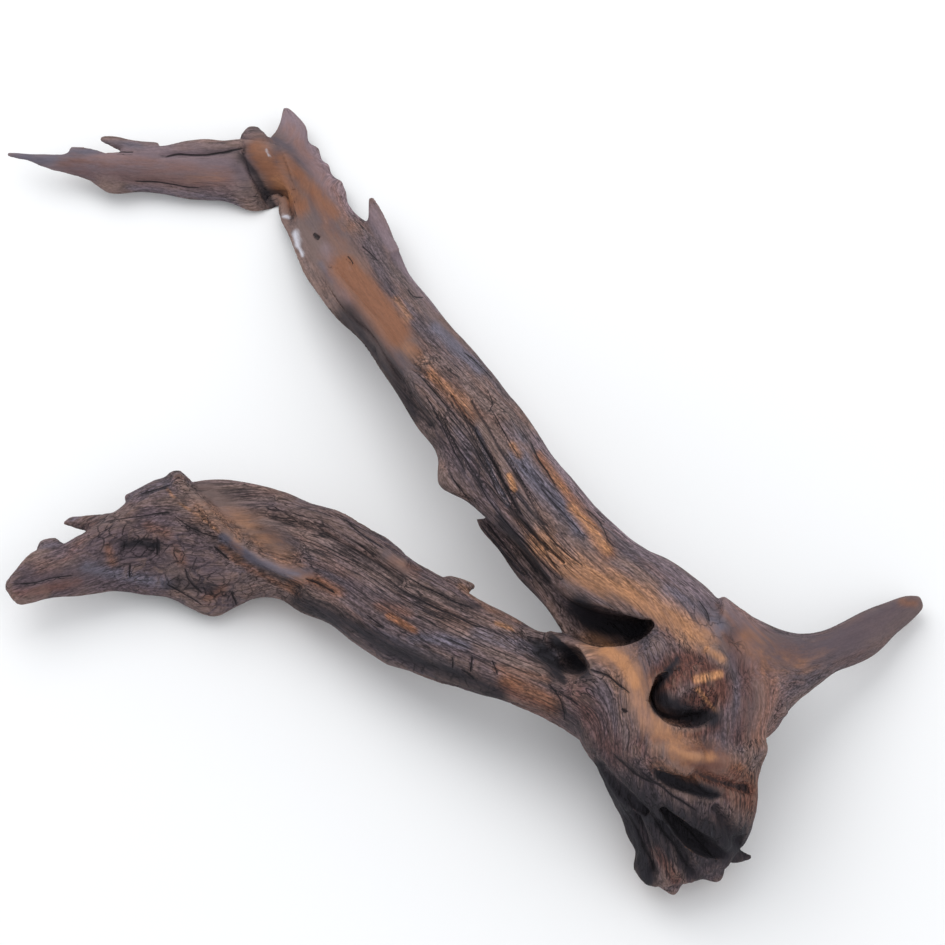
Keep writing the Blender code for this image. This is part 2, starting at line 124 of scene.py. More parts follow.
WEB = [
    (46, -95, 41, -100, 76, 5), (56, -100, 52, -108, 75, 10), (68, -105, 63, -117, 73, 14),
    (82, -104, 76, -128, 72, 17), (100, -104, 90, -138, 70, 20),
]

# Every limb, with the depth of its flutes
LIMBS = (
    (UPPER_LIMB, 2.2),
    (SLAB, 1.0),
    (LOWER_LIMB, 2.8),
    (STUMP, 3.4),
    (SPUR, 1.0),
    (FLAP, 2.2),
    (WEB, 0.8),
)

# Splinters, nubs and shreds: across, up, height, half width, half depth
SPIKES = {
    "edge spike": [(-50, 130, 28, 8, 7), (-56, 146, 22, 6, 5), (-61, 165, 19, 2, 1.8)],
    "high rim tooth": [(-96, 178, 9, 7, 6), (-95, 188, 9, 4.5, 5), (-95, 196, 9, 2.6, 2.6)],
    "elbow web": [
        (-108, 170, 11, 10, 9), (-112, 182, 12, 10, 9), (-115, 192, 13, 7, 7),
        (-116, 199, 13, 3, 3),
    ],
    "middle rim tooth": [(-90, 166, 9, 8, 7), (-88, 177, 9, 4.5, 5), (-88, 186, 9, 2.6, 2.6)],
    "low rim tooth": [(-82, 153, 13, 8, 7), (-80, 166, 12, 5, 5), (-81, 176, 11, 2.6, 2.6)],
    "slab nub": [
        (-131, 186, 12, 9, 6), (-131, 196, 14, 9, 6), (-132, 203, 15, 7, 5),
        (-132, 208, 15, 3, 3),
    ],
    "slab tooth": [
        (-188, 193, 18, 5.5, 5), (-204, 195, 20, 4.5, 4), (-214, 198, 22, 3.5, 3),
        (-223, 200, 23, 2, 2),
    ],
    "slab sliver": [(-222, 187, 19, 5, 4), (-233, 192, 21, 4, 3), (-243, 195, 22, 2, 1.8)],
    "round nub": [
        (-170, -16, 38, 8, 8), (-175, -9, 40, 7.5, 7.5), (-178, -4, 41, 6.5, 6.5),
        (-179, 1, 41, 3.5, 4),
    ],
    "long nub": [
        (-172, -9, 36, 6, 6), (-186, -9, 35, 6.5, 6.5), (-199, -15, 33, 6, 6),
        (-208, -18, 31, 4, 4),
    ],
    "prong": [
        (-205, -36, 29, 10, 8), (-218, -33, 30, 8.5, 7), (-232, -31, 30, 6, 5),
        (-242, -30, 29, 4, 3.5), (-247, -31, 29, 1.8, 1.8),
    ],
    "end nub": [
        (-248, -60, 30, 10, 8), (-252, -50, 31, 9.5, 8), (-254, -43, 31, 8.5, 7),
        (-255, -39, 31, 5, 4),
    ],
    "end shred": [(-255, -68, 29, 6, 5), (-266, -73, 29, 4.5, 4), (-274, -77, 28, 2, 2)],
    "edge tooth": [(-16, -66, 62, 5, 5), (-4, -68, 62, 4, 4), (3, -69, 62, 1.8, 1.8)],
    "stump tip": [
        (113, -232, 22, 10, 10), (118, -243, 18, 8, 8), (121, -250, 15, 4.5, 4),
        (121, -254, 14, 2, 2),
    ],
    "stump lobe": [(140, -228, 24, 9, 9), (144, -238, 20, 8, 8), (144, -246, 18, 4.5, 5)],
    "stump splinter": [(150, -226, 22, 7, 7), (158, -230, 19, 5.5, 5), (169, -231, 17, 1.8, 1.8)],
    "shoulder knob": [(176, -140, 58, 9, 12), (186, -143, 56, 6, 9), (190, -145, 54, 3, 5)],
}

# Hollows cut into the wood, by the same five numbers
HOLLOWS = {
    "long trough": [
        (13, -31, 84, 2, 16), (25, -45, 84, 4, 20), (38, -62, 82, 6, 22), (50, -77, 80, 9, 24),
        (62, -88, 78, 12.5, 27), (78, -94, 75, 13.5, 30), (93, -95, 74, 11.5, 30),
        (103, -92, 74, 7, 28), (108, -89, 74, 3, 24),
    ],
    "blind notch": [
        (44, -101, 96, 4, 16), (50, -107, 92, 9, 20), (57, -112, 87, 11, 25),
        (63, -115, 83, 9, 27), (67, -117, 82, 5.5, 26), (70, -118, 82, 2, 22),
    ],
    "knot bowl": [
        (107, -130, 93, 8, 18), (114, -133, 93, 14, 24), (124, -135, 95, 18, 25),
        (136, -136, 98, 17, 21), (146, -136, 102, 13, 15), (153, -136, 106, 7, 8),
    ],
    "stump slot": [
        (68, -168, 70, 4, 12), (80, -183, 70, 6, 15), (92, -195, 68, 5.5, 14),
        (106, -206, 64, 3, 10),
    ],
    "stump gouge": [
        (113, -200, 68, 2.5, 8), (121, -209, 66, 4.5, 14), (133, -221, 59, 6.5, 18),
        (146, -229, 51, 5, 16), (157, -233, 45, 2.5, 10),
    ],
    "stump pocket": [
        (108, -177, 90, 3, 8), (118, -182, 87, 7, 13), (128, -186, 85, 7, 14),
        (139, -193, 82, 4, 12), (154, -195, 80, 3, 8),
    ],
    "belly hollow": [
        (96, -100, 2, 10, 12), (116, -124, -2, 20, 22), (124, -150, -8, 20, 22),
        (126, -172, -10, 12, 14),
    ],
    "limb hollow": [
        (-20, 44, 20, 4, 8), (0, 14, 24, 9, 13), (24, -12, 28, 11, 15), (48, -38, 30, 8, 12),
    ],
}
HOLLOW_ROUGHNESS = 2.0
# What stands inside a hollow
PLUGS = {
    "knot heart": [
        (110, -140, 73, 7, 10), (117, -137, 77, 13, 15), (127, -131, 80, 18.5, 18),
        (139, -127, 82, 19, 18), (152, -123, 83, 12, 15),
    ],
}

# Relief worked into the face: its line, its width on the left and on the right of that
# line, and how deep it is (raised where that is below nought)
RELIEF = {
    "upper channel": ([(-104, 170), (-84, 128), (-60, 100), (-38, 74)], 12, 17, 7),
    "channel lip": ([(-84, 122), (-72, 106), (-56, 88), (-40, 62), (-20, 36)], 5, 7, -4.5),
    "side band": ([(-92, 118), (-80, 98), (-62, 74), (-46, 54), (-28, 30)], 6, 5, 4.5),
    "elbow fold": ([(-136, 194), (-128, 176), (-117, 157)], 6, 3, 7),
    "slab scoop": ([(-232, 185), (-200, 184), (-160, 183), (-136, 180)], 9, 8, 2.6),
    "slab rim groove": ([(-186, 191), (-160, 192), (-138, 194)], 1.8, 1.8, 1.6),
    "long check": ([(-12, 46), (8, 16), (22, -12), (34, -34), (54, -54)], 1.1, 1.1, 2.4),
    "second check": ([(0, 44), (16, 16), (30, -8), (42, -30)], 1, 1, 1.8),
    "limb keel": ([(20, 30), (40, 4), (58, -22), (76, -42)], 8, 10, -3.5),
    "upper edge bead": ([(-116, -16), (-92, -26), (-66, -40), (-42, -56)], 3.5, 3, -3.2),
    "bead groove": ([(-120, -24), (-94, -34), (-68, -49), (-44, -64)], 4, 4, 3.4),
    "helical ridge": (
        [(-176, -6), (-163, -18), (-149, -34), (-139, -43), (-121, -55), (-98, -63)],
        4.5, 4, -6.5,
    ),
    "smooth scoop": ([(-164, -10), (-146, -24), (-132, -36), (-112, -46)], 12, 11, 6.5),
    "ridge groove": ([(-166, -34), (-150, -46), (-132, -57), (-108, -70)], 6, 6, 5),
    "paddle knot": ([(-208, -46), (-194, -47)], 7, 7, 5.5),
    "paddle shoulder": ([(-178, -66), (-162, -72), (-146, -76)], 6, 6, 4),
    "knot collar": ([(110, -106), (97, -122), (97, -142), (108, -160), (130, -168)], 7, 7, -4.5),
    "knot knob": ([(144, -108), (149, -114)], 4.5, 4.5, -5),
    "stump brow": ([(100, -168), (124, -172), (148, -174), (170, -166)], 7, 8, -6),
    "left flute": ([(97, -206), (103, -222), (108, -240)], 3, 3, 5),
    "middle flute": ([(112, -212), (124, -228), (132, -242)], 3, 3, 5),
    "right flute": ([(146, -202), (154, -214), (160, -222)], 3.5, 3.5, 5),
    "brow flute": ([(134, -180), (150, -186), (166, -190)], 3, 3, 4),
    "spur hollow": ([(160, -120), (178, -116), (200, -112)], 8, 8, 3),
}

# Where the grain runs: across, up, height and radius of stations along each limb, from its
# free end to the stump, and the point where it grows out of the main limb
GRAIN = {
    "main limb": [
        (-112, 215, 13, 8), (-106, 178, 8, 16), (-90, 145, 18, 24), (-66, 105, 36, 30),
        (-30, 60, 52, 32), (5, 20, 62, 34), (36, -20, 70, 36), (72, -58, 68, 38),
        (106, -92, 66, 44), (122, -128, 62, 56), (122, -165, 54, 56), (124, -200, 40, 46),
        (128, -235, 20, 34), (130, -262, 8, 26),
    ],
    "slab": [
        (-284, 190, 22, 4), (-230, 184, 18, 10), (-180, 181, 16, 16), (-128, 178, 11, 22),
        (-108, 176, 9, 22),
    ],
    "lower limb": [
        (-284, -73, 30, 8), (-240, -58, 28, 20), (-195, -44, 26, 30), (-155, -44, 27, 36),
        (-118, -44, 32, 32), (-80, -58, 40, 32), (-38, -84, 48, 32), (8, -106, 54, 30),
        (50, -126, 57, 32), (84, -146, 56, 40),
    ],
    "spur": [
        (274, -78, 9, 8), (240, -94, 21, 14), (208, -108, 36, 20), (180, -116, 50, 30),
        (158, -120, 58, 40),
    ],
    "flap": [(3, -28, 55, 5), (24, -46, 55, 12), (46, -74, 55, 17), (64, -98, 53, 20)],
}
GROWS_FROM = {
    "slab": (-112, 178, 10), "lower limb": (84, -136, 60), "spur": (160, -116, 60),
    "flap": (54, -82, 60),
}

# Stains, with shade and sheen painted in among them: a line, its width on the left and on the
# right, how strongly
PAINT = {
    # Pale mauve stain, and a sheen painted along the right rims of the limbs and over the slab
    "pale_stain_and_sheen": [
        ([(-112, 215), (-100, 200), (-86, 178), (-72, 160)], 9, 9, 0.9),
        ([(-140, 202), (-126, 194)], 7, 7, 0.4),
        ([(-60, 156), (-41, 126), (-20, 98)], 7, 6, 0.6),
        ([(-88, 134), (-74, 104)], 6, 6, 0.45),
        ([(-272, 189), (-224, 189), (-176, 188), (-140, 182)], 12, 14, 0.6),
        ([(-194, 172), (-152, 166)], 6, 6, 0.4),
        ([(41, 20), (62, -8), (93, -36), (120, -55)], 1, 7, 0.7),
        ([(116, -57), (140, -72), (172, -90)], 8, 10, 0.5),
        ([(166, -106), (182, -130), (174, -152)], 10, 12, 0.5),
        ([(196, -110), (226, -104), (254, -86)], 5, 5, 0.25),
        ([(-164, -2), (-128, -6)], 5, 4, 0.4),
        ([(100, -70), (124, -76)], 3, 4, 0.3),
        ([(98, -134), (106, -150)], 4, 4, 0.5),
        ([(-34, -60), (-2, -76), (28, -92)], 3, 4, 0.35),
    ],
    "slate": [
        ([(-22, 87), (-9, 74), (4, 62)], 5, 5, 0.75),
        ([(-91, 126), (-84, 115)], 2, 3, 0.55),
        ([(26, 9), (40, -8), (54, -21), (64, -34)], 9, 7, 0.75),
        ([(20, 28), (28, 20)], 6, 5, 0.5),
        ([(2, 26), (8, 10), (15, -8), (21, -20)], 2.5, 1.5, 0.7),
        ([(-10, 26), (-2, 10)], 4, 4, 0.4),
        ([(52, -40), (60, -50)], 5, 5, 0.45),
        ([(117, -74), (130, -82), (146, -93)], 8, 7, 0.85),
        ([(156, -110), (161, -134), (158, -158)], 4, 5, 0.6),
        ([(-99, -79), (-74, -93), (-41, -104), (-7, -120)], 5, 6, 0.4),
        ([(-36, -99), (-20, -100), (-4, -103)], 5, 5, 0.65),
        ([(3, -96), (28, -104), (48, -110)], 6, 7, 0.6),
        ([(-154, -20), (-145, -26)], 4, 4, 0.4),
        ([(-150, -39), (-134, -50), (-117, -58), (-105, -63)], 3, 3, 1.1),
        ([(-232, -57), (-203, -63), (-184, -67)], 5, 5, 0.65),
        ([(-202, -14), (-184, -7)], 4, 4, 0.4),
        ([(-262, -44), (-250, -42)], 4, 4, 0.4),
        ([(-244, -28), (-236, -27)], 3, 3, 0.5),
        ([(-276, 190), (-254, 188), (-226, 194)], 4, 4, 0.75),
        ([(-248, 192), (-219, 198), (-200, 196)], 3, 3, 0.55),
        ([(-206, 171), (-170, 166), (-140, 160)], 4, 3, 0.5),
        ([(-104, -16), (-80, -22)], 3, 3, 0.4),
    ],
    "rust": [
        ([(-129, 194), (-116, 174), (-104, 160)], 8, 8, 0.8),
        ([(-114, 188), (-96, 170), (-83, 155)], 6, 7, 0.7),
        ([(-86, 148), (-76, 134)], 8, 8, 0.4),
        ([(-76, 123), (-60, 104), (-45, 84)], 9, 11, 1),
        ([(-44, 82), (-33, 72)], 5, 6, 0.55),
        ([(-26, 60), (-12, 45), (0, 34)], 7, 6, 0.55),
        ([(40, 10), (52, -6), (62, -20)], 4, 4, 0.7),
        ([(61, -18), (72, -33), (82, -48)], 6, 6, 0.6),
        ([(112, -176), (130, -184), (144, -180), (160, -177)], 4, 6, 0.8),
        ([(136, -172), (154, -183), (168, -194)], 14, 13, 0.7),
        ([(144, -208), (154, -213)], 5, 4, 0.35),
        ([(111, -228), (117, -236), (122, -243)], 4, 4, 0.4),
        ([(-50, -86), (-41, -91), (-35, -95)], 3, 3, 0.8),
        ([(-56, -80), (-38, -84)], 5, 5, 0.45),
        ([(-110, -67), (-96, -64), (-81, -72)], 5, 5, 0.6),
        ([(21, -126), (38, -134), (48, -140)], 7, 7, 0.72),
        ([(15, -117), (45, -124)], 4, 4, 0.45),
        ([(-48, -52), (-34, -59)], 4, 5, 0.45),
        ([(-219, -45), (-216, -54)], 4, 4, 0.5),
        ([(-178, -46), (-174, -53)], 5, 5, 0.45),
        ([(-194, -33), (-184, -37)], 6, 5, 0.4),
        ([(-159, -76), (-150, -70)], 5, 4, 0.45),
        ([(-272, -73), (-255, -70), (-238, -64)], 5, 6, 0.3),
        ([(-260, -58), (-245, -52), (-228, -31)], 6, 7, 0.28),
        ([(-150, -45), (-134, -57), (-117, -66), (-104, -74)], 3, 3, 0.5),
        ([(-246, 188), (-214, 188), (-184, 185), (-146, 180)], 5, 6, 0.36),
        ([(-110, 206), (-98, 188), (-82, 166), (-74, 148)], 6, 6, 0.4),
        ([(147, -80), (153, -87), (160, -97)], 3, 3, 0.4),
        ([(258, -77), (265, -79)], 4, 4, 0.5),
        ([(165, -100), (178, -130), (170, -158)], 12, 10, 0.5),
        ([(158, -76), (176, -100), (196, -112)], 7, 9, 0.4),
    ],
    "tan": [
        ([(165, -100), (188, -117), (208, -110)], 10, 12, 0.26),
        ([(40, -44), (70, -64), (100, -76), (136, -99)], 13, 9, 0.6),
        ([(36, -39), (62, -58), (82, -67)], 5, 5, 0.6),
        ([(88, -72), (112, -80), (136, -98)], 5, 5, 0.62),
        ([(74, -100), (92, -116), (106, -144), (124, -165)], 12, 14, 0.5),
        ([(80, -106), (90, -114), (97, -126)], 6, 6, 0.85),
        ([(100, -136), (110, -150), (122, -162)], 4, 5, 0.45),
        ([(120, -165), (130, -170), (144, -171)], 4, 4, 0.62),
        ([(60, -21), (72, -34), (81, -46)], 3.5, 4.5, 0.62),
        ([(22, -2), (25, -10)], 2.2, 2.2, 1),
        ([(24, 16), (28, 10)], 3, 3, 0.55),
        ([(135, -124), (141, -123), (148, -121)], 2.8, 2.8, 0.95),
        ([(135, -130), (140, -136), (146, -144)], 1.8, 1.8, 0.6),
        ([(141, -106), (150, -112)], 3.2, 3.2, 0.75),
        ([(14, -90), (24, -94)], 2, 2, 0.6),
        ([(-7, -68), (10, -82), (28, -90)], 3, 3, 0.35),
        ([(-183, -10), (-176, -18), (-164, -26), (-152, -36)], 1.2, 1.2, 0.5),
        ([(-164, -24), (-142, -28), (-126, -40), (-112, -52)], 9, 9, 0.4),
        ([(-126, -50), (-116, -51), (-104, -56)], 5, 5, 0.3),
        ([(-169, 178), (-152, 178)], 4, 5, 0.25),
        ([(-118, 176), (-110, 165)], 4, 4, 0.42),
        ([(-45, 104), (-39, 93)], 4, 4, 0.4),
        ([(-40, 76), (-26, 60), (-10, 46)], 5, 6, 0.34),
        ([(-14, 52), (-2, 40)], 6, 6, 0.34),
        ([(44, 2), (56, -12)], 2.5, 2.5, 0.4),
        ([(28, -28), (40, -44)], 3, 4, 0.3),
        ([(-142, -32), (-140, -52)], 4, 6, 0.35),
    ],
    # Dark stain, and shade painted into the hollows, under the overhangs, down the stump's
    # shadowed flank and end, and along the lower limb's lower edge
    "dark_stain_and_shade": [
        ([(-266, -66), (-230, -56), (-194, -52), (-160, -68)], 14, 14, 0.24),
        ([(-142, 184), (-135, 173), (-129, 164)], 5, 6, 0.4),
        ([(-219, -66), (-194, -69)], 5, 5, 0.25),
        ([(-34, -108), (-4, -117)], 5, 4, 0.25),
        ([(-138, 190), (-129, 178), (-122, 166), (-118, 159)], 1.5, 6, 0.65),
        ([(-136, 170), (-124, 160)], 5, 5, 0.4),
        ([(-76, 94), (-63, 77), (-48, 57), (-36, 35)], 10, 10, 0.66),
        ([(-41, 52), (-29, 34), (-20, 20)], 6, 8, 0.5),
        ([(-32, 38), (-16, 14), (-4, -2)], 5, 5, 0.35),
        ([(-210, -43), (-200, -42), (-189, -44)], 3.5, 3.5, 0.75),
        ([(-182, -20), (-170, -28), (-164, -40)], 4, 5, 0.35),
        ([(-184, -68), (-164, -68), (-156, -70)], 5, 5, 0.5),
        ([(6, -31), (21, -52), (33, -64)], 3, 5, 0.5),
        ([(16, -26), (32, -46), (46, -64)], 2, 4, 0.7),
        ([(64, -80), (76, -90), (100, -94)], 8, 9, 0.95),
        ([(52, -100), (62, -110), (68, -117)], 0.5, 9, 0.9),
        ([(42, -105), (52, -118)], 5, 10, 0.85),
        ([(114, -136), (128, -144), (144, -147)], 7, 8, 0.85),
        ([(122, -112), (114, -123), (108, -135), (112, -145), (130, -148)], 4, 2, 0.8),
        ([(75, -178), (84, -190), (94, -206), (100, -226), (105, -244)], 8, 9, 0.9),
        ([(112, -182), (124, -188), (144, -194)], 7, 4, 0.9),
        ([(92, -196), (124, -212), (158, -222)], 20, 28, 0.8),
        ([(102, -206), (124, -216), (141, -228), (158, -224)], 6, 6, 0.95),
        ([(110, -218), (124, -232), (136, -243)], 8, 8, 0.65),
        ([(88, -172), (106, -183)], 6, 6, 0.5),
        ([(-104, -76), (-74, -91), (-41, -108), (-7, -122), (16, -133)], 7, 10, 0.7),
        ([(52, -140), (70, -160), (80, -174)], 4, 7, 0.5),
        ([(-148, -12), (-136, -10)], 4, 4, 0.4),
        ([(-78, -27), (-64, -38), (-52, -46)], 1.4, 1.6, 0.4),
        ([(-20, -72), (-8, -79), (4, -80)], 3, 3, 0.55),
        ([(-104, -21), (-86, -26)], 2, 3, 0.4),
    ],
    "plum": [
        ([(-278, -62), (-254, -68), (-224, -64), (-194, -68)], 13, 12, 0.9),
        ([(-248, -44), (-218, -44), (-194, -52)], 16, 14, 0.8),
        ([(-194, -28), (-164, -52), (-154, -70)], 14, 14, 0.8),
        ([(-206, -14), (-182, -8)], 7, 7, 0.8),
        ([(-140, -14), (-86, -26), (-32, -58), (16, -86)], 7, 9, 0.38),
        ([(-74, -70), (-32, -94), (10, -118)], 10, 12, 0.45),
        ([(52, -136), (76, -160), (92, -176)], 14, 16, 0.6),
        ([(4, -28), (22, -52), (40, -76)], 6, 6, 0.6),
        ([(-20, 20), (4, -16), (16, -34)], 12, 7, 0.45),
        ([(-274, 189), (-248, 188), (-212, 180), (-146, 166)], 7, 9, 0.4),
        ([(88, -190), (130, -220), (148, -232)], 26, 30, 0.7),
        ([(164, -136), (158, -160)], 8, 10, 0.35),
        ([(172, -94), (214, -97), (260, -78)], 1.2, 1.6, 0.8),
        ([(178, -112), (214, -104), (260, -81)], 14, 14, 0.6),
    ],
    "heart": [
        ([(-242, 183), (-194, 178), (-146, 176)], 8, 9, 0.42),
        ([(115, -124), (130, -116), (146, -130), (130, -144)], 11, 11, 1),
        ([(130, -168), (154, -183), (170, -196)], 10, 15, 0.7),
        ([(100, -164), (112, -176)], 8, 8, 0.5),
        ([(136, -210), (158, -218)], 5, 5, 0.6),
        ([(110, -226), (122, -244)], 5, 5, 0.65),
        ([(154, -100), (164, -130), (158, -158)], 8, 7, 0.55),
        ([(110, -160), (130, -158), (146, -152)], 6, 5, 0.6),
        ([(-276, -72), (-254, -69), (-236, -66)], 4, 5, 0.5),
        ([(62, -130), (76, -158), (88, -172)], 12, 10, 0.5),
        ([(20, -130), (50, -144)], 5, 7, 0.5),
        ([(100, -84), (130, -106)], 4, 4, 0.3),
    ],
    "salt": [
        ([(-113, 154), (-110, 153)], 1.5, 1.4, 0.62),
        ([(-106, 144), (-105, 136)], 2.6, 2.2, 0.62),
        ([(-104, 135), (-102, 130)], 1.1, 1.1, 0.55),
        ([(-124, 194), (-122, 190)], 0.7, 0.7, 0.5),
    ],
}
# Where fine dark lines lie close together
LINED = [
    ([(-44, 68), (-14, 32), (16, -10), (52, -52)], 16, 18, 1),
    ([(52, -52), (88, -76)], 8, 10, 0.6),
    ([(-146, -16), (-104, -34), (-56, -64), (-2, -100), (40, -112)], 22, 18, 1),
    ([(52, -136), (88, -160), (106, -190)], 16, 14, 0.8),
    ([(100, -190), (124, -220)], 22, 26, 1),
    ([(10, -34), (34, -64)], 7, 7, 1),
    ([(-206, -16), (-164, -28)], 10, 8, 0.5),
]
# Drying checks that show one by one: a line, its half width and its depth
CHECKS = [
    (
        [(-10.5, 41.1), (-1.5, 25.5), (8.7, 5.7), (21.9, -18.3), (29.1, -31.5), (37.5, -42.3),
         (48.3, -53.7), (56.1, -59.7)],
        0.5, 1.1,
    ),
    ([(-0.3, 29.1), (9.3, 11.7), (14.7, 1.5), (21.3, -11.1), (28.5, -24.9)], 0.5, 1),
    ([(10.5, 38.7), (23.7, 15.9), (34.5, -3.3)], 0.4, 0.7),
    ([(19.5, 13.5), (31.5, -8.1), (43.5, -24.9)], 0.35, 0.6),
    ([(-14.7, 25.5), (-1.5, 2.7), (11.7, -20.1)], 0.4, 0.8),
    ([(34.5, 19.5), (38.7, 10.5), (44.7, 0.3), (50.1, -9.3)], 0.6, 1.1),
    ([(66.9, -21.3), (74.7, -27.9), (79.5, -34.5), (81.9, -41.7), (87.3, -45.9)], 0.45, 1),
    ([(-1.5, 19.5), (4.5, 8.7), (9.9, -1.5), (16.5, -16.5)], 0.45, 1),
    ([(-21.3, 38.7), (-11.1, 18.3), (2.7, -2.7)], 0.55, 1.1),
    ([(-5.7, 72.3), (4.5, 63.9), (12.9, 55.5)], 0.5, 1),
    ([(-29.1, 48.3), (-15.9, 23.1), (-3.9, -0.9)], 0.55, 1),
    ([(37.5, -28.5), (52.5, -45.3), (67.5, -57.3)], 0.45, 0.8),
    ([(8.7, 50.7), (11.7, 42.3), (9.3, 35.1)], 0.35, 0.5),
    ([(3.9, -29.7), (18.3, -48.9), (32.7, -63.9)], 0.55, 1.2),
    ([(8.1, -29.1), (22.5, -48.3), (36.9, -65.7)], 0.6, 1.5),
    ([(14.1, -29.1), (28.5, -47.1), (41.1, -62.7)], 0.5, 1.2),
    ([(-185.7, 189.3), (-176.7, 191.1), (-159.3, 190.5), (-136.5, 194.7)], 0.6, 1.2),
    ([(-204.3, 174.9), (-185.7, 173.7), (-161.7, 170.1)], 0.5, 1),
    ([(-214.5, 192.3), (-203.1, 192.3)], 0.4, 0.8),
    ([(-74.7, 129.9), (-71.7, 124.5)], 0.5, 0.8),
    ([(-38.7, 110.7), (-35.1, 105.9), (-29.1, 104.7)], 0.5, 0.9),
    ([(-66.3, 135.9), (-56.7, 126.3)], 0.4, 0.7),
    ([(69.3, -117.3), (79.5, -120.9), (87.3, -126.9), (95.1, -132.9)], 0.6, 1.3),
    ([(89.7, -141.9), (92.1, -144.3)], 1, 2),
    ([(-95.1, 143.1), (-91.5, 140.7)], 1.3, 2),
    ([(135.3, -76.5), (140.1, -82.5), (142.5, -89.7)], 0.5, 1),
    ([(-77.7, -27.3), (-63.9, -38.7), (-51.9, -46.5)], 0.5, 0.9),
    ([(-12.3, -110.1), (-11.7, -117.3)], 0.5, 0.9),
    ([(-0.3, -110.1), (-0.9, -119.7)], 0.6, 1.1),
    ([(-6.9, -117.3), (1.5, -123.9)], 0.5, 0.9),
    ([(11.7, -112.5), (15.3, -121.5)], 0.5, 0.9),
    ([(-101.1, -63.3), (-91.5, -67.5), (-81.9, -72.9)], 0.6, 1.2),
    ([(-67.5, -43.5), (-58.5, -51.3)], 0.5, 0.9),
    ([(-63.9, -84.9), (-52.5, -93.9)], 0.5, 0.9),
    ([(45.3, -125.7), (52.5, -136.5), (56.1, -149.7)], 0.5, 1),
    ([(50.7, -130.5), (63.3, -140.1)], 0.5, 0.9),
    ([(-275.7, -66.9), (-260.7, -65.7), (-249.3, -62.7), (-238.5, -61.5)], 0.4, 0.6),
    ([(-220.5, -29.1), (-203.1, -26.7), (-180.3, -23.7)], 0.35, 0.6),
    ([(-180.3, -24.9), (-171.9, -30.9), (-161.7, -36.3), (-151.5, -38.7)], 0.35, 0.6),
    ([(-173.1, -56.7), (-168.9, -65.7), (-161.7, -72.9)], 0.6, 1.2),
    ([(-184.5, -65.7), (-168.9, -75.3), (-161.7, -79.5)], 0.5, 1),
    ([(-205.5, -54.3), (-205.5, -63.9)], 0.5, 1.1),
    ([(-189.3, -38.7), (-189.3, -50.1)], 0.6, 1.2),
    ([(-200.1, -13.5), (-187.5, -9.3), (-180.3, -6.9)], 0.7, 1.4),
    ([(-144.3, -70.5), (-141.9, -80.1)], 0.6, 1),
    ([(-155.1, -43.5), (-145.5, -52.5)], 0.5, 0.9),
    ([(88.5, -196.5), (100.5, -218.1), (109.5, -239.7)], 0.7, 1.4),
    ([(100.5, -196.5), (117.3, -218.1), (130.5, -238.5)], 0.7, 1.4),
    ([(112.5, -196.5), (130.5, -215.7), (146.1, -232.5)], 0.7, 1.3),
    ([(100.5, -178.5), (117.3, -191.7), (136.5, -203.7)], 0.7, 1.3),
    ([(82.5, -167.7), (100.5, -182.1), (114.9, -188.1)], 0.7, 1.2),
]

# Where the wood is crazed into small blocks, where it is worn smooth and where it is torn:
# a line, its width on the left and on the right, how strongly
CRAZED = [
    ([(-217, -35), (-180, -52), (-150, -74)], 17, 20, 1),
    ([(-150, -74), (-128, -72), (-104, -86)], 8, 12, 0.8),
    ([(-60, -104), (-10, -124), (24, -138)], 7, 9, 0.8),
    ([(24, -130), (60, -150), (88, -172)], 10, 14, 0.45),
    ([(128, -80), (144, -92), (158, -106)], 7, 8, 0.7),
    ([(150, -120), (164, -146)], 10, 10, 0.4),
]
POLISHED = [
    ([(-112, 205), (-98, 170), (-84, 138), (-64, 104), (-44, 76)], 15, 22, 1),
    ([(-130, 182), (-190, 184), (-270, 190)], 16, 16, 0.85),
    ([(-160, -12), (-140, -26), (-116, -42)], 11, 10, 0.75),
    ([(-148, -38), (-128, -54), (-98, -62)], 4, 3, 0.9),
    ([(80, -106), (96, -118), (104, -142), (124, -168), (146, -172)], 11, 10, 0.85),
    ([(60, -66), (96, -78), (130, -96)], 10, 8, 0.55),
    ([(-132, 196), (-116, 172), (-100, 152)], 10, 8, 0.9),
    ([(-60, 154), (-41, 126), (-22, 98), (-8, 78)], 10, 10, 0.65),
    ([(10, 26), (34, -4), (58, -30), (80, -56)], 15, 13, 0.25),
    ([(156, -78), (170, -112), (166, -150)], 12, 12, 0.5),
    ([(-52, -50), (-40, -58)], 5, 5, 0.7),
    ([(150, -96), (200, -104), (262, -78)], 22, 22, 0.8),
    ([(-262, -68), (-226, -60)], 12, 12, 0.5),
]
TORN = [
    ([(114, -126), (132, -134), (148, -138)], 11, 13, 1),
    ([(50, -100), (60, -108), (70, -114)], 3, 6, 0.7),
    ([(146, -108), (152, -118)], 5, 5, 0.6),
    ([(92, -200), (120, -226), (140, -240)], 26, 22, 0.45),
    ([(166, -222), (150, -196), (170, -176)], 12, 12, 0.4),
    ([(-264, -44), (-280, -72)], 6, 6, 0.4),
    ([(262, -74), (272, -80)], 6, 6, 0.5),
]
# Slopes that run down into the notch, worked in before it is cut, by the same numbers as
# the relief
SLOPES = {
    "left of the notch": ([(40, -98), (48, -108), (52, -118)], 5, 13, 7),
    "lip of the notch": ([(50, -103), (57, -112), (58, -120)], 5, 8, 7),
}

# Finishes, as sRGB colours
UMBER = "6F5C58"
BARK = "564B51"
RUSSET = "72544A"
WORN = "94786C"
# Dirt and painted shade, laid where the skin lies back in creases
DIRT_AND_SHADE = "2C2629"
CRACK = "151216"
CARD = "F4F4F4"
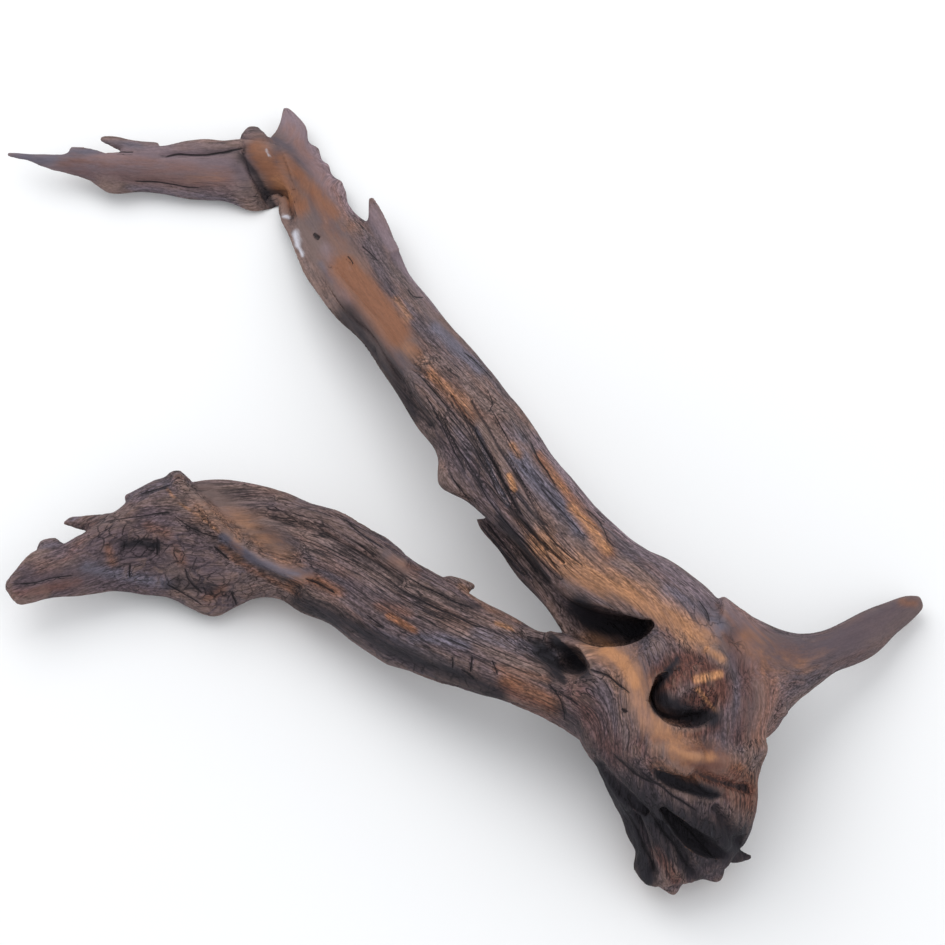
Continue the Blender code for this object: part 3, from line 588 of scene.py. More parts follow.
# Each stain, painted shade and sheen among them, how ragged its edge is, and how much of it lies
# on the side away from the view
STAINS_AND_SHADE = {
    # Pale mauve stain, with a sheen painted along the rims
    "pale_stain_and_sheen": ("806E75", 0.45, 0.5),
    "plum": ("57494F", 0.50, 0.8),
    "slate": ("605B67", 0.55, 0.8),
    "rust": ("82563F", 0.60, 0.7),
    "heart": ("5C3B34", 0.60, 0.5),
    "tan": ("AE7B56", 0.60, 0.45),
    # Dark stain, with shade painted into hollows, under overhangs and on the sides turned from
    # the light
    "dark_stain_and_shade": ("242127", 0.50, 0.75),
    "salt": ("CDCDD6", 0.80, 0.0),
}
# Lights as wide as a window: where each one hangs, how wide it is and how strong, in metres
# and watts, and the pale light all round
LIGHTS = {
    "window": ((-0.7, 1.0, 2.0), 2.2, 24),
    "fill": ((1.2, -1.0, 2.0), 2.4, 9),
}
SKY = (0.95, 0.97, 1.0, 1.0)
SKY_STRENGTH = 0.80
FLOOR_REACH = 8

# Relief starts on wood turned this much toward the eye, and is full on wood turned that much
RELIEF_STARTS = 0.05
RELIEF_FULL = 0.55

# Flutes run along the grain in a slow spiral. They are at most this share of the limb's
# radius deep, and deeper by the last share on the far side than on the face.
FLUTE_WIDTH = 13.0
FLUTE_LENGTH = 75.0
FLUTE_SPIRAL = 0.004
FLUTE_SHARE = 0.16
FLUTE_FAR_SIDE = 0.45
# A thin limb carries flutes as if this much thicker
FLUTE_THICKER = 6.0
# Broad lumps over all the wood
LUMP_SIZE = 26.0
LUMP_HEIGHT = 1.8

# Random values that run with the grain: their size along, across and deep in it, their seed
GRAINED = {
    "crazed patch": ((80, 34, 34), 41),
    "wander": ((9, 5, 5), 51),
    "split": ((130, 7.5, 7.5), 61),
    "split patch": ((130, 26, 26), 62),
    "cord": ((70, 9, 9), 81),
    "fibre": ((42, 4.2, 4.2), 82),
    "shred": ((11, 3.2, 3.2), 83),
    "fine shred": ((6, 1.9, 1.9), 84),
    "stain patch": ((75, 20, 20), 90),
}
LUMP_SEED = 77
HOLLOW_SEED = 200
PLUG_SEED = 300

# Cords and fibres stand out in sharp ridges. Torn wood is shreds and finer ones.
CORD_HEIGHT = 0.35
FIBRE_HEIGHT = 0.32
RIDGE_SHARPNESS = 1.6
SHRED_HEIGHT = 1.1
FINE_SHRED_SHARE = 0.6
# Wood that is worn smooth has lost this share of its fibres, and of its worn lightening and its
# dirt and painted shade in the creases
WORN_RELIEF = 0.85
WORN_SHADES = 0.65

# A check wanders this far, dents the skin this far beside it, gapes this far from its line
# and tells on nothing further off than this
CHECK_WANDER = 0.6
CHECK_DENT = 1.2
CHECK_OPEN = 1.5
CHECK_REACH = 6
# It closes over the first and the last fifth of its length
CHECK_TAPER = 5
# Half widths from a check that count as far off
FAR_OFF = 4.0
# Splits run where their random value, moved and bent by these, is this near to nought
SPLIT_SHIFT = 3.0
SPLIT_WANDER = 0.12
SPLIT_HALF_WIDTH = 0.085
SPLIT_DENT = 1.6
SPLIT_DEPTH = 1.2
# Crazed blocks: their size, how ragged their borders are, and the dent along them
BLOCK_SIZE = (19, 12, 12)
BLOCK_SEED = 71
BLOCK_WANDER = 0.2
BLOCK_DENT = 0.07
BLOCK_DEPTH = 0.8

# Wood stands fully out when it is this many mm above the skin smoothed so many times
FINE_ROUNDS = 2
FINE_STEP = 0.5
BROAD_ROUNDS = 14
BROAD_STEP = 4.5
# How closely the far side is lined
LINED_BEHIND = 0.45

RIB_SPACING = 4.0
RIB_POINTS = 56
GRAIN_SPACING = 7.0
# How softly one stretch of grain passes into the next, in radii squared
GRAIN_BLEND = 0.35
STROKE_SPACING = 3.0
CHECK_SPACING = 2.0
VOXEL = 2.0
FINE_VOXEL = 1.1
MOST_TRIANGLES = 196000
POINTS_AT_ONCE = 8000
MIDDLE = np.array((-15.1, 18.9, 0.0))


def scattered(at, seed):
    """A value from -1 to 1 for each row of whole numbers."""
    mixed = at[:, 0] * 73856093 ^ at[:, 1] * 19349663 ^ at[:, 2] * 83492791 ^ seed * 912931
    mixed = (mixed ^ (mixed >> 13)) * 1274126177 & 0xFFFFFF
    return mixed / 0x7FFFFF - 1


def noise(points, seed):
    """Smooth random values, from -1 to 1, at the rows of points."""
    cell = np.floor(points).astype(np.int64)
    part = points - cell
    part = part * part * (3 - 2 * part)
    total = np.zeros(len(points))
    for corner in itertools.product((0, 1), repeat=3):
        share = np.prod(np.where(corner, part, 1 - part), axis=1)
        total += share * scattered(cell + corner, seed)
    return total


def cell_borders(points, seed):
    """0 on the borders of random cells one unit wide, rising to about 1 inside them."""
    cell = np.floor(points).astype(np.int64)
    nearest = np.full(len(points), np.inf)
    second = nearest.copy()
    for step in itertools.product((-1, 0, 1), repeat=3):
        at = cell + step
        jitter = np.stack([scattered(at, seed + i) for i in range(3)], axis=1)
        distance = np.linalg.norm(points - at - 0.5 - 0.42 * jitter, axis=1)
        second = np.minimum(second, np.maximum(nearest, distance))
        nearest = np.minimum(nearest, distance)
    return second - nearest


def grained(grain, name, shift=0.0, draw=0):
    """The random values of that name; each draw is another set of them."""
    size, seed = GRAINED[name]
    return noise(grain / size + shift, seed + draw)


def bell(distance, width):
    """1 at no distance, falling off smoothly over about this width."""
    return np.exp(-((distance / width) ** 2))


def step_between(low, high, values):
    share = np.clip((values - low) / (high - low), 0, 1)
    return share * share * (3 - 2 * share)


def place(across, up, height):
    """The point at this height that shows at (across, up), and its scale in the view."""
    shown = VIEW_CENTRE + across * RIGHT + up * UP
    ray = shown - EYE
    scale = (height - EYE[2]) / ray[2]
    return EYE + scale * ray, scale


def shown_at(points):
    """Where points show in the view, as across and up."""
    from_centre = points - VIEW_CENTRE
    scale = VIEW_DISTANCE / (VIEW_DISTANCE - from_centre @ TOWARD)
    return np.stack((from_centre @ RIGHT * scale, from_centre @ UP * scale), axis=1)


def facing_of(normals):
    """1 where the wood faces the view that it was measured in."""
    return np.clip((normals @ TOWARD - RELIEF_STARTS) / (RELIEF_FULL - RELIEF_STARTS), 0, 1)


def curve_through(rows, spacing):
    """Rows along a Catmull-Rom curve through the given ones, about this far apart."""
    rows = np.array(rows, float)
    padded = np.vstack((2 * rows[0] - rows[1], rows, 2 * rows[-1] - rows[-2]))
    made = []
    for before, start, end, after in zip(padded, padded[1:], padded[2:], padded[3:]):
        count = max(1, round(np.linalg.norm((end - start)[:2]) / spacing))
        for t in np.arange(count) / count:
            bend = 2 * before - 5 * start + 4 * end - after
            last = 3 * start - before - 3 * end + after
            made.append(0.5 * (2 * start + (end - before) * t + bend * t**2 + last * t**3))
    return np.array(made + [rows[-1]])


def sections_of_ribs(ribs):
    """Middle, half axis across the limb and half axis toward the eye of each section."""
    made = []
    for across, up, other_across, other_up, height, depth in curve_through(ribs, RIB_SPACING):
        middle, scale = place((across + other_across) / 2, (up + other_up) / 2, height)
        wide = ((across - other_across) * RIGHT + (up - other_up) * UP) / 2
        made.append((middle, wide * scale, TOWARD * depth))
    return made


def sections_of_line(stations):
    """The same for stations that give a half width, square to their own line."""
    rows = curve_through(stations, RIB_SPACING)
    along = np.gradient(rows[:, :2], axis=0)
    along /= np.linalg.norm(along, axis=1)[:, None]
    made = []
    for row, way in zip(rows, along):
        middle, scale = place(*row[:3])
        side = way[1] * RIGHT - way[0] * UP
        made.append((middle, side * row[3] * scale, TOWARD * row[4]))
    return made


def flutes(sections, angles, depth, seed):
    """How far each point of each section stands out: spiral flutes, deeper on the far side."""
    middles = np.array([section[0] for section in sections])
    steps = np.linalg.norm(np.diff(middles, axis=0), axis=1)
    along = np.concatenate(((0.0,), np.cumsum(steps)))
    half_axes = [(np.linalg.norm(wide), np.linalg.norm(deep)) for _, wide, deep in sections]
    sizes = np.min(half_axes, axis=1)
    turned = angles[None, :] + FLUTE_SPIRAL * along[:, None]
    round_limb = (sizes + FLUTE_THICKER)[:, None] / FLUTE_WIDTH
    ways = (
        np.cos(turned) * round_limb,
        np.sin(turned) * round_limb,
        np.broadcast_to(along[:, None] / FLUTE_LENGTH, turned.shape),
    )
    at = np.stack(ways, axis=2).reshape(-1, 3)
    ridged = 0.6 - 2 * np.abs(noise(at, seed)) + 0.6 * noise(2.1 * at + 9.0, seed + 1)
    height = np.minimum(depth, FLUTE_SHARE * sizes)[:, None]
    return ridged.reshape(turned.shape) * height * (1 - FLUTE_FAR_SIDE * np.sin(angles))


def roll(bm, sections, flute_depth=0.0, seed=0):
    """A sheet rolled round the sections of a limb and closed at its seam and its ends."""
    angles = np.arange(RIB_POINTS + 1) * 2 * math.pi / RIB_POINTS
    proud = flutes(sections, angles, flute_depth, seed)
    sheet = bmesh.ops.create_grid(bm, x_segments=RIB_POINTS, y_segments=len(sections) - 1, size=1)
    verts = sheet["verts"]
    places = []
    for (middle, wide, deep), outward in zip(sections, proud):
        rim = np.cos(angles)[:, None] * wide + np.sin(angles)[:, None] * deep
        rim *= 1 + (outward / np.linalg.norm(rim, axis=1))[:, None]
        places.append(middle + rim)
    for vert, at in zip(verts, np.concatenate(places) * MM):
        vert.co = at
    bmesh.ops.remove_doubles(bm, verts=verts, dist=1e-6)
    open_ends = [edge for edge in bm.edges if edge.is_boundary]
    bmesh.ops.holes_fill(bm, edges=open_ends)


def new_object(name, bm):
    bmesh.ops.recalc_face_normals(bm, faces=bm.faces)
    mesh = bpy.data.meshes.new(name)
    bm.to_mesh(mesh)
    bm.free()
    obj = bpy.data.objects.new(name, mesh)
    bpy.context.scene.collection.objects.link(obj)
    return obj


def raw_wood():
    bm = bmesh.new()
    for seed, (ribs, flute_depth) in enumerate(LIMBS):
        roll(bm, sections_of_ribs(ribs), flute_depth, 10 * seed)
    for stations in SPIKES.values():
        roll(bm, sections_of_line(stations))
    return new_object("driftwood_root", bm)


def hollow_cutters():
    made = []
    for stations in HOLLOWS.values():
        bm = bmesh.new()
        roll(bm, sections_of_line(stations), HOLLOW_ROUGHNESS, HOLLOW_SEED + len(made))
        made.append(new_object("cutter", bm))
    return made


def add_plugs(mesh):
    bm = bmesh.new()
    bm.from_mesh(mesh)
    for stations in PLUGS.values():
        roll(bm, sections_of_line(stations), HOLLOW_ROUGHNESS, PLUG_SEED)
    bmesh.ops.recalc_face_normals(bm, faces=bm.faces)
    bm.to_mesh(mesh)
    bm.free()


def fuse(obj, voxel):
    """Turns overlapping shapes into one even skin."""
    remesh = obj.modifiers.new("fuse", "REMESH")
    remesh.mode = "VOXEL"
    remesh.voxel_size = voxel * MM
    soften = obj.modifiers.new("soften", "SMOOTH")
    soften.factor = 0.5
    soften.iterations = 2
    apply_modifiers(obj)


def apply_modifiers(obj):
    graph = bpy.context.evaluated_depsgraph_get()
    shaped = bpy.data.meshes.new_from_object(obj.evaluated_get(graph))
    obj.modifiers.clear()
    obj.data = shaped


def rows_of(items, name):
    values = np.empty(len(items) * 3, np.float32)
    items.foreach_get(name, values)
    return values.reshape(-1, 3).astype(float)


def skin_of(mesh):
    """The mesh's points in millimetres and the way each one faces."""
    return rows_of(mesh.vertices, "co") / MM, rows_of(mesh.vertex_normals, "vector")


def move_skin(mesh, points, normals, raised):
    points = points + normals * raised[:, None]
    mesh.vertices.foreach_set("co", (points * MM).astype(np.float32).ravel())
    mesh.update()


def near_line(spots, line, reach):
    """Which spots lie in the box that reaches this far round the line."""
    low, high = line.min(axis=0) - reach, line.max(axis=0) + reach
    return np.flatnonzero(np.all((spots > low) & (spots < high), axis=1))


def from_line(spots, line):
    """Distance from the line, above nought where it lies to the left, and how far along."""
    nearest = np.full(len(spots), np.inf)
    side = np.zeros(len(spots))
    along = np.zeros(len(spots))
    for i, (start, end) in enumerate(zip(line, line[1:])):
        way = end - start
        share = np.clip((spots - start) @ way / (way @ way), 0, 1)
        off = spots - start - share[:, None] * way
        distance = np.hypot(*off.T)
        closer = distance < nearest
        nearest[closer] = distance[closer]
        side[closer] = (way[0] * off[:, 1] - way[1] * off[:, 0])[closer]
        along[closer] = (i + share[closer]) / (len(line) - 1)
    return nearest, side, along


def stroke(shown, line, left, right):
    """1 on the line, falling off smoothly at its left and its right."""
    line = curve_through(line, STROKE_SPACING)
    near = near_line(shown, line, 3 * max(left, right))
    distance, side, _ = from_line(shown[near], line)
    cover = np.zeros(len(shown))
    cover[near] = bell(distance, np.where(side > 0, left, right))
    return cover


def painted(shown, strokes):
    """How strongly each point is covered by the strongest of these strokes."""
    cover = np.zeros(len(shown))
    for line, left, right, strength in strokes:
        cover = np.maximum(cover, strength * stroke(shown, line, left, right))
    return cover


def pressed(shown, strokes):
    """How deep these strokes go in all at each point."""
    return sum(depth * stroke(shown, line, left, right) for line, left, right, depth in strokes)


def grain_stations():
    """Middle, frame, radius and place in the grain of every station along the limbs."""
    limbs = {}
    for name, line in GRAIN.items():
        rows = curve_through(line, GRAIN_SPACING)
        middles = np.array([place(*row[:3])[0] for row in rows])
        ways = np.gradient(middles, axis=0)
        ways /= np.linalg.norm(ways, axis=1)[:, None]
        sides = np.cross(TOWARD, ways)
        sides /= np.linalg.norm(sides, axis=1)[:, None]
        frames = np.stack((ways, sides, np.cross(ways, sides)), axis=1)
        steps = np.linalg.norm(np.diff(middles, axis=0), axis=1)
        start = np.zeros((len(rows), 3))
        start[1:, 0] = np.cumsum(steps)
        limbs[name] = [middles, frames, rows[:, 3], start]
    for name, spot in GROWS_FROM.items():
        spot = place(*spot)[0][None]
        limbs[name][3] += grain_at(spot, *limbs["main limb"]) - grain_at(spot, *limbs[name])
    return [np.concatenate(parts) for parts in zip(*limbs.values())]


def grain_at(points, middles, frames, radii, starts):
    """Along, across and deep in the grain, blended over the stations near each point."""
    made = np.empty((len(points), 3))
    offset = starts - np.einsum("mji,mi->mj", frames, middles)
    for first in range(0, len(points), POINTS_AT_ONCE):
        block = points[first : first + POINTS_AT_ONCE]
        near = (block**2).sum(axis=1)[:, None] - 2 * block @ middles.T + (middles**2).sum(axis=1)
        near /= radii**2
        share = np.exp((near.min(axis=1)[:, None] - near) / GRAIN_BLEND)
        share /= share.sum(axis=1)[:, None]
        turned = (share @ frames.reshape(-1, 9)).reshape(-1, 3, 3)
        straight = np.einsum("pji,pi->pj", turned, block)
        made[first : first + POINTS_AT_ONCE] = straight + share @ offset
    return made


def crazed_at(shown, normals, grain):
    """Where the surface has dried into small blocks: as listed in front, in patches behind."""
    behind = step_between(0.15, 0.5, grained(grain, "crazed patch"))
    return np.where(normals @ TOWARD > 0, painted(shown, CRAZED), behind)


def drawn_checks(spots):
    """The listed checks: how far off the nearest one is in its half widths, above
    nought on its left, how open it is there and how deep."""
    off_line = np.full(len(spots), FAR_OFF)
    opened = np.zeros(len(spots))
    sunk = np.zeros(len(spots))
    for line, width, depth in CHECKS:
        line = curve_through(line, CHECK_SPACING)
        near = near_line(spots, line, CHECK_REACH)
        distance, side, share = from_line(spots[near], line)
        taper = np.clip(CHECK_TAPER * np.minimum(share, 1 - share), 0, 1)
        sunk[near] = np.maximum(sunk[near], depth * taper * bell(distance, CHECK_DENT))
        closer = distance / width < np.abs(off_line[near])
        off_line[near[closer]] = (np.sign(side) * distance / width)[closer]
        opened[near[closer]] = (taper * bell(distance, CHECK_OPEN))[closer]
    return off_line, opened, sunk


def checks_at(shown, normals, grain, crazed):
    """How deep the drying checks are, and what the material needs to draw them."""
    wander = np.stack([grained(grain, "wander", draw=i) for i in range(2)], axis=1)
    off_line, opened, sunk = drawn_checks(shown + CHECK_WANDER * wander)
    facing = facing_of(normals)
    polished = painted(shown, POLISHED) * facing
    split = grained(grain, "split", SPLIT_SHIFT) + SPLIT_WANDER * wander[:, 0]
    split /= SPLIT_HALF_WIDTH
    open_split = step_between(0.0, 0.5, grained(grain, "split patch")) * (1 - polished)
    blocks = cell_borders(grain / BLOCK_SIZE + BLOCK_WANDER * wander[:, :1], BLOCK_SEED)
    depth = np.maximum(sunk * facing, SPLIT_DEPTH * open_split * bell(split, SPLIT_DENT))
    depth = np.maximum(depth, BLOCK_DEPTH * bell(blocks, BLOCK_DENT) * crazed)
    return depth, {
        "off_check": off_line,
        "open_check": opened * facing,
        "off_split": np.clip(split, -FAR_OFF, FAR_OFF),
        "open_split": open_split,
        "polished": polished,
    }


def work_face(mesh, strokes, lump_height=0.0):
    """Presses relief into the side that faces the view, and lumps into every side."""
    points, normals = skin_of(mesh)
    sunk = pressed(shown_at(points), strokes) * facing_of(normals)
    lumps = lump_height * noise(points / LUMP_SIZE, LUMP_SEED)
    move_skin(mesh, points, normals, lumps - sunk)


def ridges(grain, name):
    return 0.5 - RIDGE_SHARPNESS * np.abs(grained(grain, name))


def work_grain(mesh, stations):
    """Fibres, checks and crazing, along the grain."""
    points, normals = skin_of(mesh)
    shown = shown_at(points)
    grain = grain_at(points, *stations)
    crazed = crazed_at(shown, normals, grain)
    depth, marks = checks_at(shown, normals, grain, crazed)
    strands = CORD_HEIGHT * ridges(grain, "cord") + FIBRE_HEIGHT * ridges(grain, "fibre")
    shreds = grained(grain, "shred") + FINE_SHRED_SHARE * grained(grain, "fine shred")
    torn = painted(shown, TORN) * facing_of(normals)
    raised = strands * (1 - WORN_RELIEF * marks["polished"])
    raised += SHRED_HEIGHT * shreds * torn - depth
    move_skin(mesh, points, normals, raised)


def stand_on_ground(mesh):
    """Moves the wood's middle to the origin and cuts its three low points flat."""
    bm = bmesh.new()
    bm.from_mesh(mesh)
    bmesh.ops.translate(bm, vec=-MIDDLE * MM, verts=bm.verts)
    everything = bm.verts[:] + bm.edges[:] + bm.faces[:]
    cut = bmesh.ops.bisect_plane(
        bm, geom=everything, dist=1e-7, plane_co=(0, 0, 0), plane_no=(0, 0, -1), clear_outer=True
    )
    rims = [item for item in cut["geom_cut"] if isinstance(item, bmesh.types.BMEdge)]
    bmesh.ops.contextual_create(bm, geom=rims)
    bmesh.ops.triangulate(bm, faces=bm.faces[:])
    low, high = cad_box
    for vert in bm.verts:
        vert.co = [min(max(c, least), most) for c, least, most in zip(vert.co, low, high)]
    bm.to_mesh(mesh)
    bm.free()


def height_above_neighbours(mesh, points, normals, rounds):
    """How far each point stands out from the skin around it, smoothed this many times."""
    ends = np.empty(len(mesh.edges) * 2, np.int32)
    mesh.edges.foreach_get("vertices", ends)
    first, second = ends.reshape(-1, 2).T
    count = np.bincount(ends, minlength=len(points))[:, None]
    smooth = points
    for _ in range(rounds):
        total = [
            np.bincount(first, smooth[second, i], len(points))
            + np.bincount(second, smooth[first, i], len(points))
            for i in range(3)
        ]
        smooth = np.stack(total, axis=1) / count
    return ((points - smooth) * normals).sum(axis=1)


def keep(mesh, name, values):
    """Stores values on the mesh's points for the material to read."""
    vector = values.ndim == 2
    layer = mesh.attributes.new(name, "FLOAT_VECTOR" if vector else "FLOAT", "POINT")
    layer.data.foreach_set("vector" if vector else "value", values.astype(np.float32).ravel())


def stain(mesh, stations):
    """Measures on the finished mesh what the material needs to know, painted shade and sheen
    among it.
    """
    points, normals = skin_of(mesh)
    points += MIDDLE
    shown = shown_at(points)
    facing = facing_of(normals)
    grain = grain_at(points, *stations)
    crazed = crazed_at(shown, normals, grain)
    _, marks = checks_at(shown, normals, grain, crazed)
    fine = height_above_neighbours(mesh, points, normals, FINE_ROUNDS) / FINE_STEP
    broad = height_above_neighbours(mesh, points, normals, BROAD_ROUNDS) / BROAD_STEP
    standing = (fine + broad) * (1 - WORN_SHADES * marks["polished"])
    marks["grain"] = grain
    marks["crazed"] = crazed
    marks["lined"] = np.maximum(painted(shown, LINED) * facing, LINED_BEHIND * (1 - facing))
    marks["standing"] = np.clip(standing, -1, 1)
    front = step_between(-0.35, 0.25, normals @ TOWARD)
    for draw, (name, strokes) in enumerate(PAINT.items()):
        patches = step_between(0.1, 0.75, grained(grain, "stain patch", draw=draw))
        behind = patches * STAINS_AND_SHADE[name][2]
        marks[name] = front * painted(shown, strokes) + (1 - front) * behind
    for name, values in marks.items():
        keep(mesh, name, values)


def tone(hex_colour):
    """Linear red, green, blue and alpha of an sRGB colour."""
    parts = [int(hex_colour[i : i + 2], 16) / 255 for i in (0, 2, 4)]
    return (*(c / 12.92 if c <= 0.04045 else ((c + 0.055) / 1.055) ** 2.4 for c in parts), 1.0)


def node(tree, kind, feeds, **settings):
    """Adds a node with its settings. feeds gives inputs a value or another node's output."""
    made = tree.nodes.new("ShaderNode" + kind)
    for name, value in settings.items():
        setattr(made, name, value)
    for socket, value in feeds.items():
        if isinstance(value, bpy.types.NodeSocket):
            tree.links.new(value, made.inputs[socket])
        else:
            made.inputs[socket].default_value = value
    return made


def new_material(name):
    material = bpy.data.materials.new(name)
    material.use_nodes = True
    return material, material.node_tree, material.node_tree.nodes["Principled BSDF"]


def waterlogged_wood():
    """Root wood that lay in water and dried: matt, mauve-brown, streaked along the grain,
    with rust and tan where the skin is worn, slate where it is bleached, black in the checks,
    dirt and painted shade in its creases and hollows, and a pale sheen painted along rims."""
    material, tree, shader = new_material("weathered root wood")

    def measured(name, output="Fac"):
        return node(tree, "Attribute", {}, attribute_name=name).outputs[output]

    def in_grain(length, width, shift):
        """The place in the grain, counted in lengths and widths of this many mm."""
        feeds = {0: grain, 1: (1 / length, 1 / width, 1 / width), 2: shift}
        return node(tree, "VectorMath", feeds, operation="MULTIPLY_ADD").outputs[0]

    def along_grain(length, width, detail, shift=0.0, roughness=0.55):
        """Noise drawn out along the grain, by its length and width in mm."""
        at = in_grain(length, width, (shift,) * 3)
        feeds = {"Vector": at, "Scale": 1.0, "Detail": detail, "Roughness": roughness}
        return node(tree, "TexNoise", feeds).outputs["Fac"]

    def between(value, low, high, to_low=0.0, to_high=1.0):
        feeds = {0: value, 1: low, 2: high, 3: to_low, 4: to_high}
        return node(tree, "MapRange", feeds, interpolation_type="SMOOTHSTEP").outputs[0]

    def maths(operation, *values):
        return node(tree, "Math", dict(enumerate(values)), operation=operation).outputs[0]

    def mixed(share, first, second, blend="MIX"):
        feeds = {0: share, 6: first, 7: second}
        return node(tree, "Mix", feeds, data_type="RGBA", blend_type=blend).outputs[2]

    def lines(value, width):
        """1 where noise crosses its middle value: long thin loops."""
        off = maths("ABSOLUTE", maths("SUBTRACT", value, 0.5))
        return between(off, 0.0, width, 1.0, 0.0)

    def with_stain_and_shade(colour, name):
        hex_colour, tattered, _ = STAINS_AND_SHADE[name]
        cover = maths("MULTIPLY_ADD", ragged, tattered, measured(name))
        return mixed(between(cover, 0.08, 0.85), colour, tone(hex_colour))

    grain = measured("grain", "Vector")
    standing = measured("standing")
    polished = measured("polished")
    crazed = measured("crazed")
    open_wood = between(polished, 0.0, 0.8, 1.0, 0.12)
    open_wood = maths("MULTIPLY", open_wood, between(crazed, 0.0, 1.0, 1.0, 0.5))

    patches = along_grain(95, 24, 4)
    colour = mixed(between(patches, 0.36, 0.64), tone(BARK), tone(UMBER))
    warm = between(along_grain(48, 9, 3, 7.0), 0.45, 0.72, 0.0, 0.5)
    colour = mixed(warm, colour, tone(RUSSET))

    ragged = maths("SUBTRACT", along_grain(22, 4.2, 5, 13.0, 0.6), 0.5)
    # The stains, among them a pale sheen painted along rims
    for name in ("pale_stain_and_sheen", "plum", "slate", "rust", "heart", "tan"):
        colour = with_stain_and_shade(colour, name)

    # Fibres about 1 mm across, and the pepper of dark pores between them
    fibres = along_grain(15, 1.35, 4, 3.0, 0.6)
    shades = between(fibres, 0.30, 0.70, 0.14, 0.86)
    colour = mixed(maths("MULTIPLY", open_wood, 0.75), colour, shades, "OVERLAY")
    pores = along_grain(2.4, 0.9, 2, 5.0)
    shades = between(pores, 0.34, 0.66, 0.12, 0.88)
    colour = mixed(maths("MULTIPLY", open_wood, 0.55), colour, shades, "OVERLAY")

    # Worn lighter where it stands out, and darker where it lies back: dirt and painted shade in
    # the creases
    colour = mixed(between(standing, 0.10, 0.9, 0.0, 0.30), colour, tone(WORN))
    colour = mixed(between(standing, -0.08, -0.9, 0.0, 0.75), colour, tone(DIRT_AND_SHADE))

    # Dark stain with shade painted into hollows and under overhangs, then the salt
    colour = with_stain_and_shade(with_stain_and_shade(colour, "dark_stain_and_shade"), "salt")

    # Fine dark lines 1 to 3 mm apart, close together on some stretches and loose elsewhere
    lined = measured("lined")
    close = maths("MULTIPLY", lines(along_grain(130, 3.2, 1.5, 17.0, 0.4), 0.045), lined)
    fine = lines(along_grain(46, 3.6, 2, 21.0), 0.030)
    fine = maths("MULTIPLY", fine, between(along_grain(60, 16, 2, 31.0), 0.40, 0.56))
    fine = maths("MULTIPLY", maths("MAXIMUM", fine, close), open_wood)

    # The wider checks, and the net of cracks between small blocks
    bent = in_grain(8.5, 6.2, ragged)
    border = node(tree, "TexVoronoi", {"Vector": bent, "Scale": 1.0}, feature="DISTANCE_TO_EDGE")
    crazing = between(border.outputs["Distance"], 0.01, 0.07, 0.9, 0.0)
    broken = between(along_grain(16, 9, 2, 41.0), 0.38, 0.58, 0.3, 1.0)
    crazing = maths("MULTIPLY", crazing, maths("MULTIPLY", broken, crazed))
    off_check = maths("ABSOLUTE", measured("off_check"))
    opened = between(measured("open_check"), 0.02, 0.35)
    drawn = maths("MULTIPLY", between(off_check, 0.25, 1.1, 1.0, 0.0), opened)
    shut = maths("MULTIPLY_ADD", measured("open_split"), -1.1, 1.1)
    off_split = maths("ADD", maths("ABSOLUTE", measured("off_split")), shut)
    split = between(off_split, 0.25, 1.1, 1.0, 0.0)
    black = maths("MAXIMUM", maths("MAXIMUM", fine, crazing), maths("MAXIMUM", drawn, split))
    colour = mixed(maths("MULTIPLY", black, 0.85), colour, tone(CRACK))
    tree.links.new(colour, shader.inputs["Base Color"])

    rough = between(polished, 0.0, 1.0, 0.84, 0.62)
    tree.links.new(rough, shader.inputs["Roughness"])
    shader.inputs["Metallic"].default_value = 0.0
    shader.inputs["IOR"].default_value = 1.45
    shader.inputs["Specular IOR Level"].default_value = 0.35

    relief = maths("MULTIPLY_ADD", pores, 0.35, fibres)
    relief = maths("MULTIPLY", relief, open_wood)
    relief = maths("MULTIPLY_ADD", black, -1.2, relief)
    bump = node(tree, "Bump", {"Strength": 0.75, "Distance": 0.0009, "Height": relief})
    tree.links.new(bump.outputs[0], shader.inputs["Normal"])
    return material


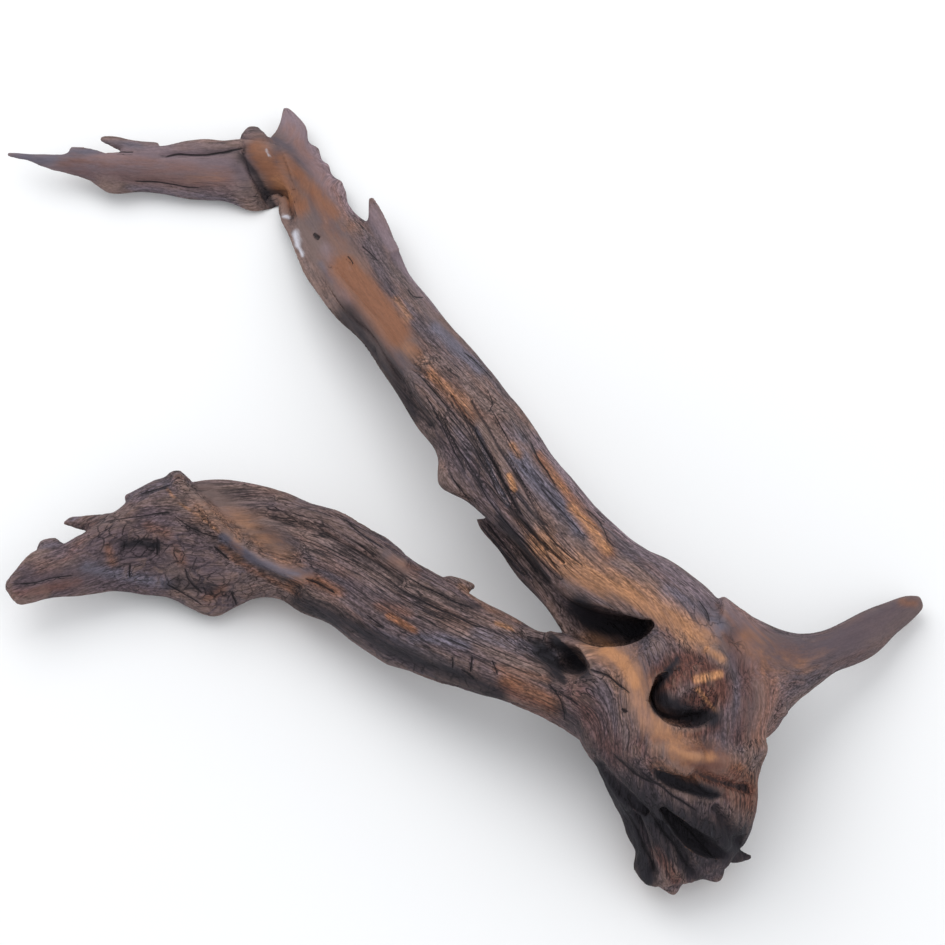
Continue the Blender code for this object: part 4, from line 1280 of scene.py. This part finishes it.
def grow_wood():
    wood = raw_wood()
    fuse(wood, VOXEL)
    work_face(wood.data, SLOPES.values())
    cutters = hollow_cutters()
    for cutter in cutters:
        cut = wood.modifiers.new("hollow", "BOOLEAN")
        cut.operation = "DIFFERENCE"
        cut.object = cutter
    apply_modifiers(wood)
    for cutter in cutters:
        bpy.data.objects.remove(cutter)
    add_plugs(wood.data)
    fuse(wood, FINE_VOXEL)
    work_face(wood.data, RELIEF.values(), LUMP_HEIGHT)
    stations = grain_stations()
    work_grain(wood.data, stations)
    thin = wood.modifiers.new("thin out", "DECIMATE")
    thin.ratio = MOST_TRIANGLES / (2 * len(wood.data.polygons))
    apply_modifiers(wood)
    stand_on_ground(wood.data)
    stain(wood.data, stations)
    wood.data.shade_smooth()
    wood.data.materials.append(waterlogged_wood())
    return wood


def pale_floor():
    """Matt white card: plain, so that the wood's own colour is all there is."""
    bm = bmesh.new()
    bmesh.ops.create_grid(bm, x_segments=1, y_segments=1, size=FLOOR_REACH)
    floor = new_object("floor", bm)
    material, _, shader = new_material("matt white card")
    shader.inputs["Base Color"].default_value = tone(CARD)
    shader.inputs["Roughness"].default_value = 0.9
    floor.data.materials.append(material)
    return floor


def aim(obj, location, target):
    obj.location = location
    obj.rotation_mode = "QUATERNION"
    obj.rotation_quaternion = (Vector(location) - Vector(target)).to_track_quat("Z", "Y")
    bpy.context.scene.collection.objects.link(obj)


def soft_light(name, location, size, power):
    light = bpy.data.lights.new(name, "AREA")
    light.size = size
    light.energy = power
    aim(bpy.data.objects.new(name, light), location, (0, 0, 0.05))


def set_up_view():
    scene = bpy.context.scene
    camera = bpy.data.cameras.new("camera")
    camera.sensor_width = 36
    camera.lens = camera.sensor_width * VIEW_DISTANCE / VIEW_WIDTH
    camera.clip_end = 30
    eye = bpy.data.objects.new("camera", camera)
    aim(eye, (EYE - MIDDLE) * MM, (VIEW_CENTRE - MIDDLE) * MM)
    scene.camera = eye
    scene.view_settings.view_transform = "Standard"
    world = bpy.data.worlds.new("studio")
    world.use_nodes = True
    background = world.node_tree.nodes["Background"]
    background.inputs["Color"].default_value = SKY
    background.inputs["Strength"].default_value = SKY_STRENGTH
    scene.world = world
    for name, settings in LIGHTS.items():
        soft_light(name, *settings)


set_up_view()
floor = pale_floor()
wood = grow_wood()
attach(wood, "root")
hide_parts("driftwood")
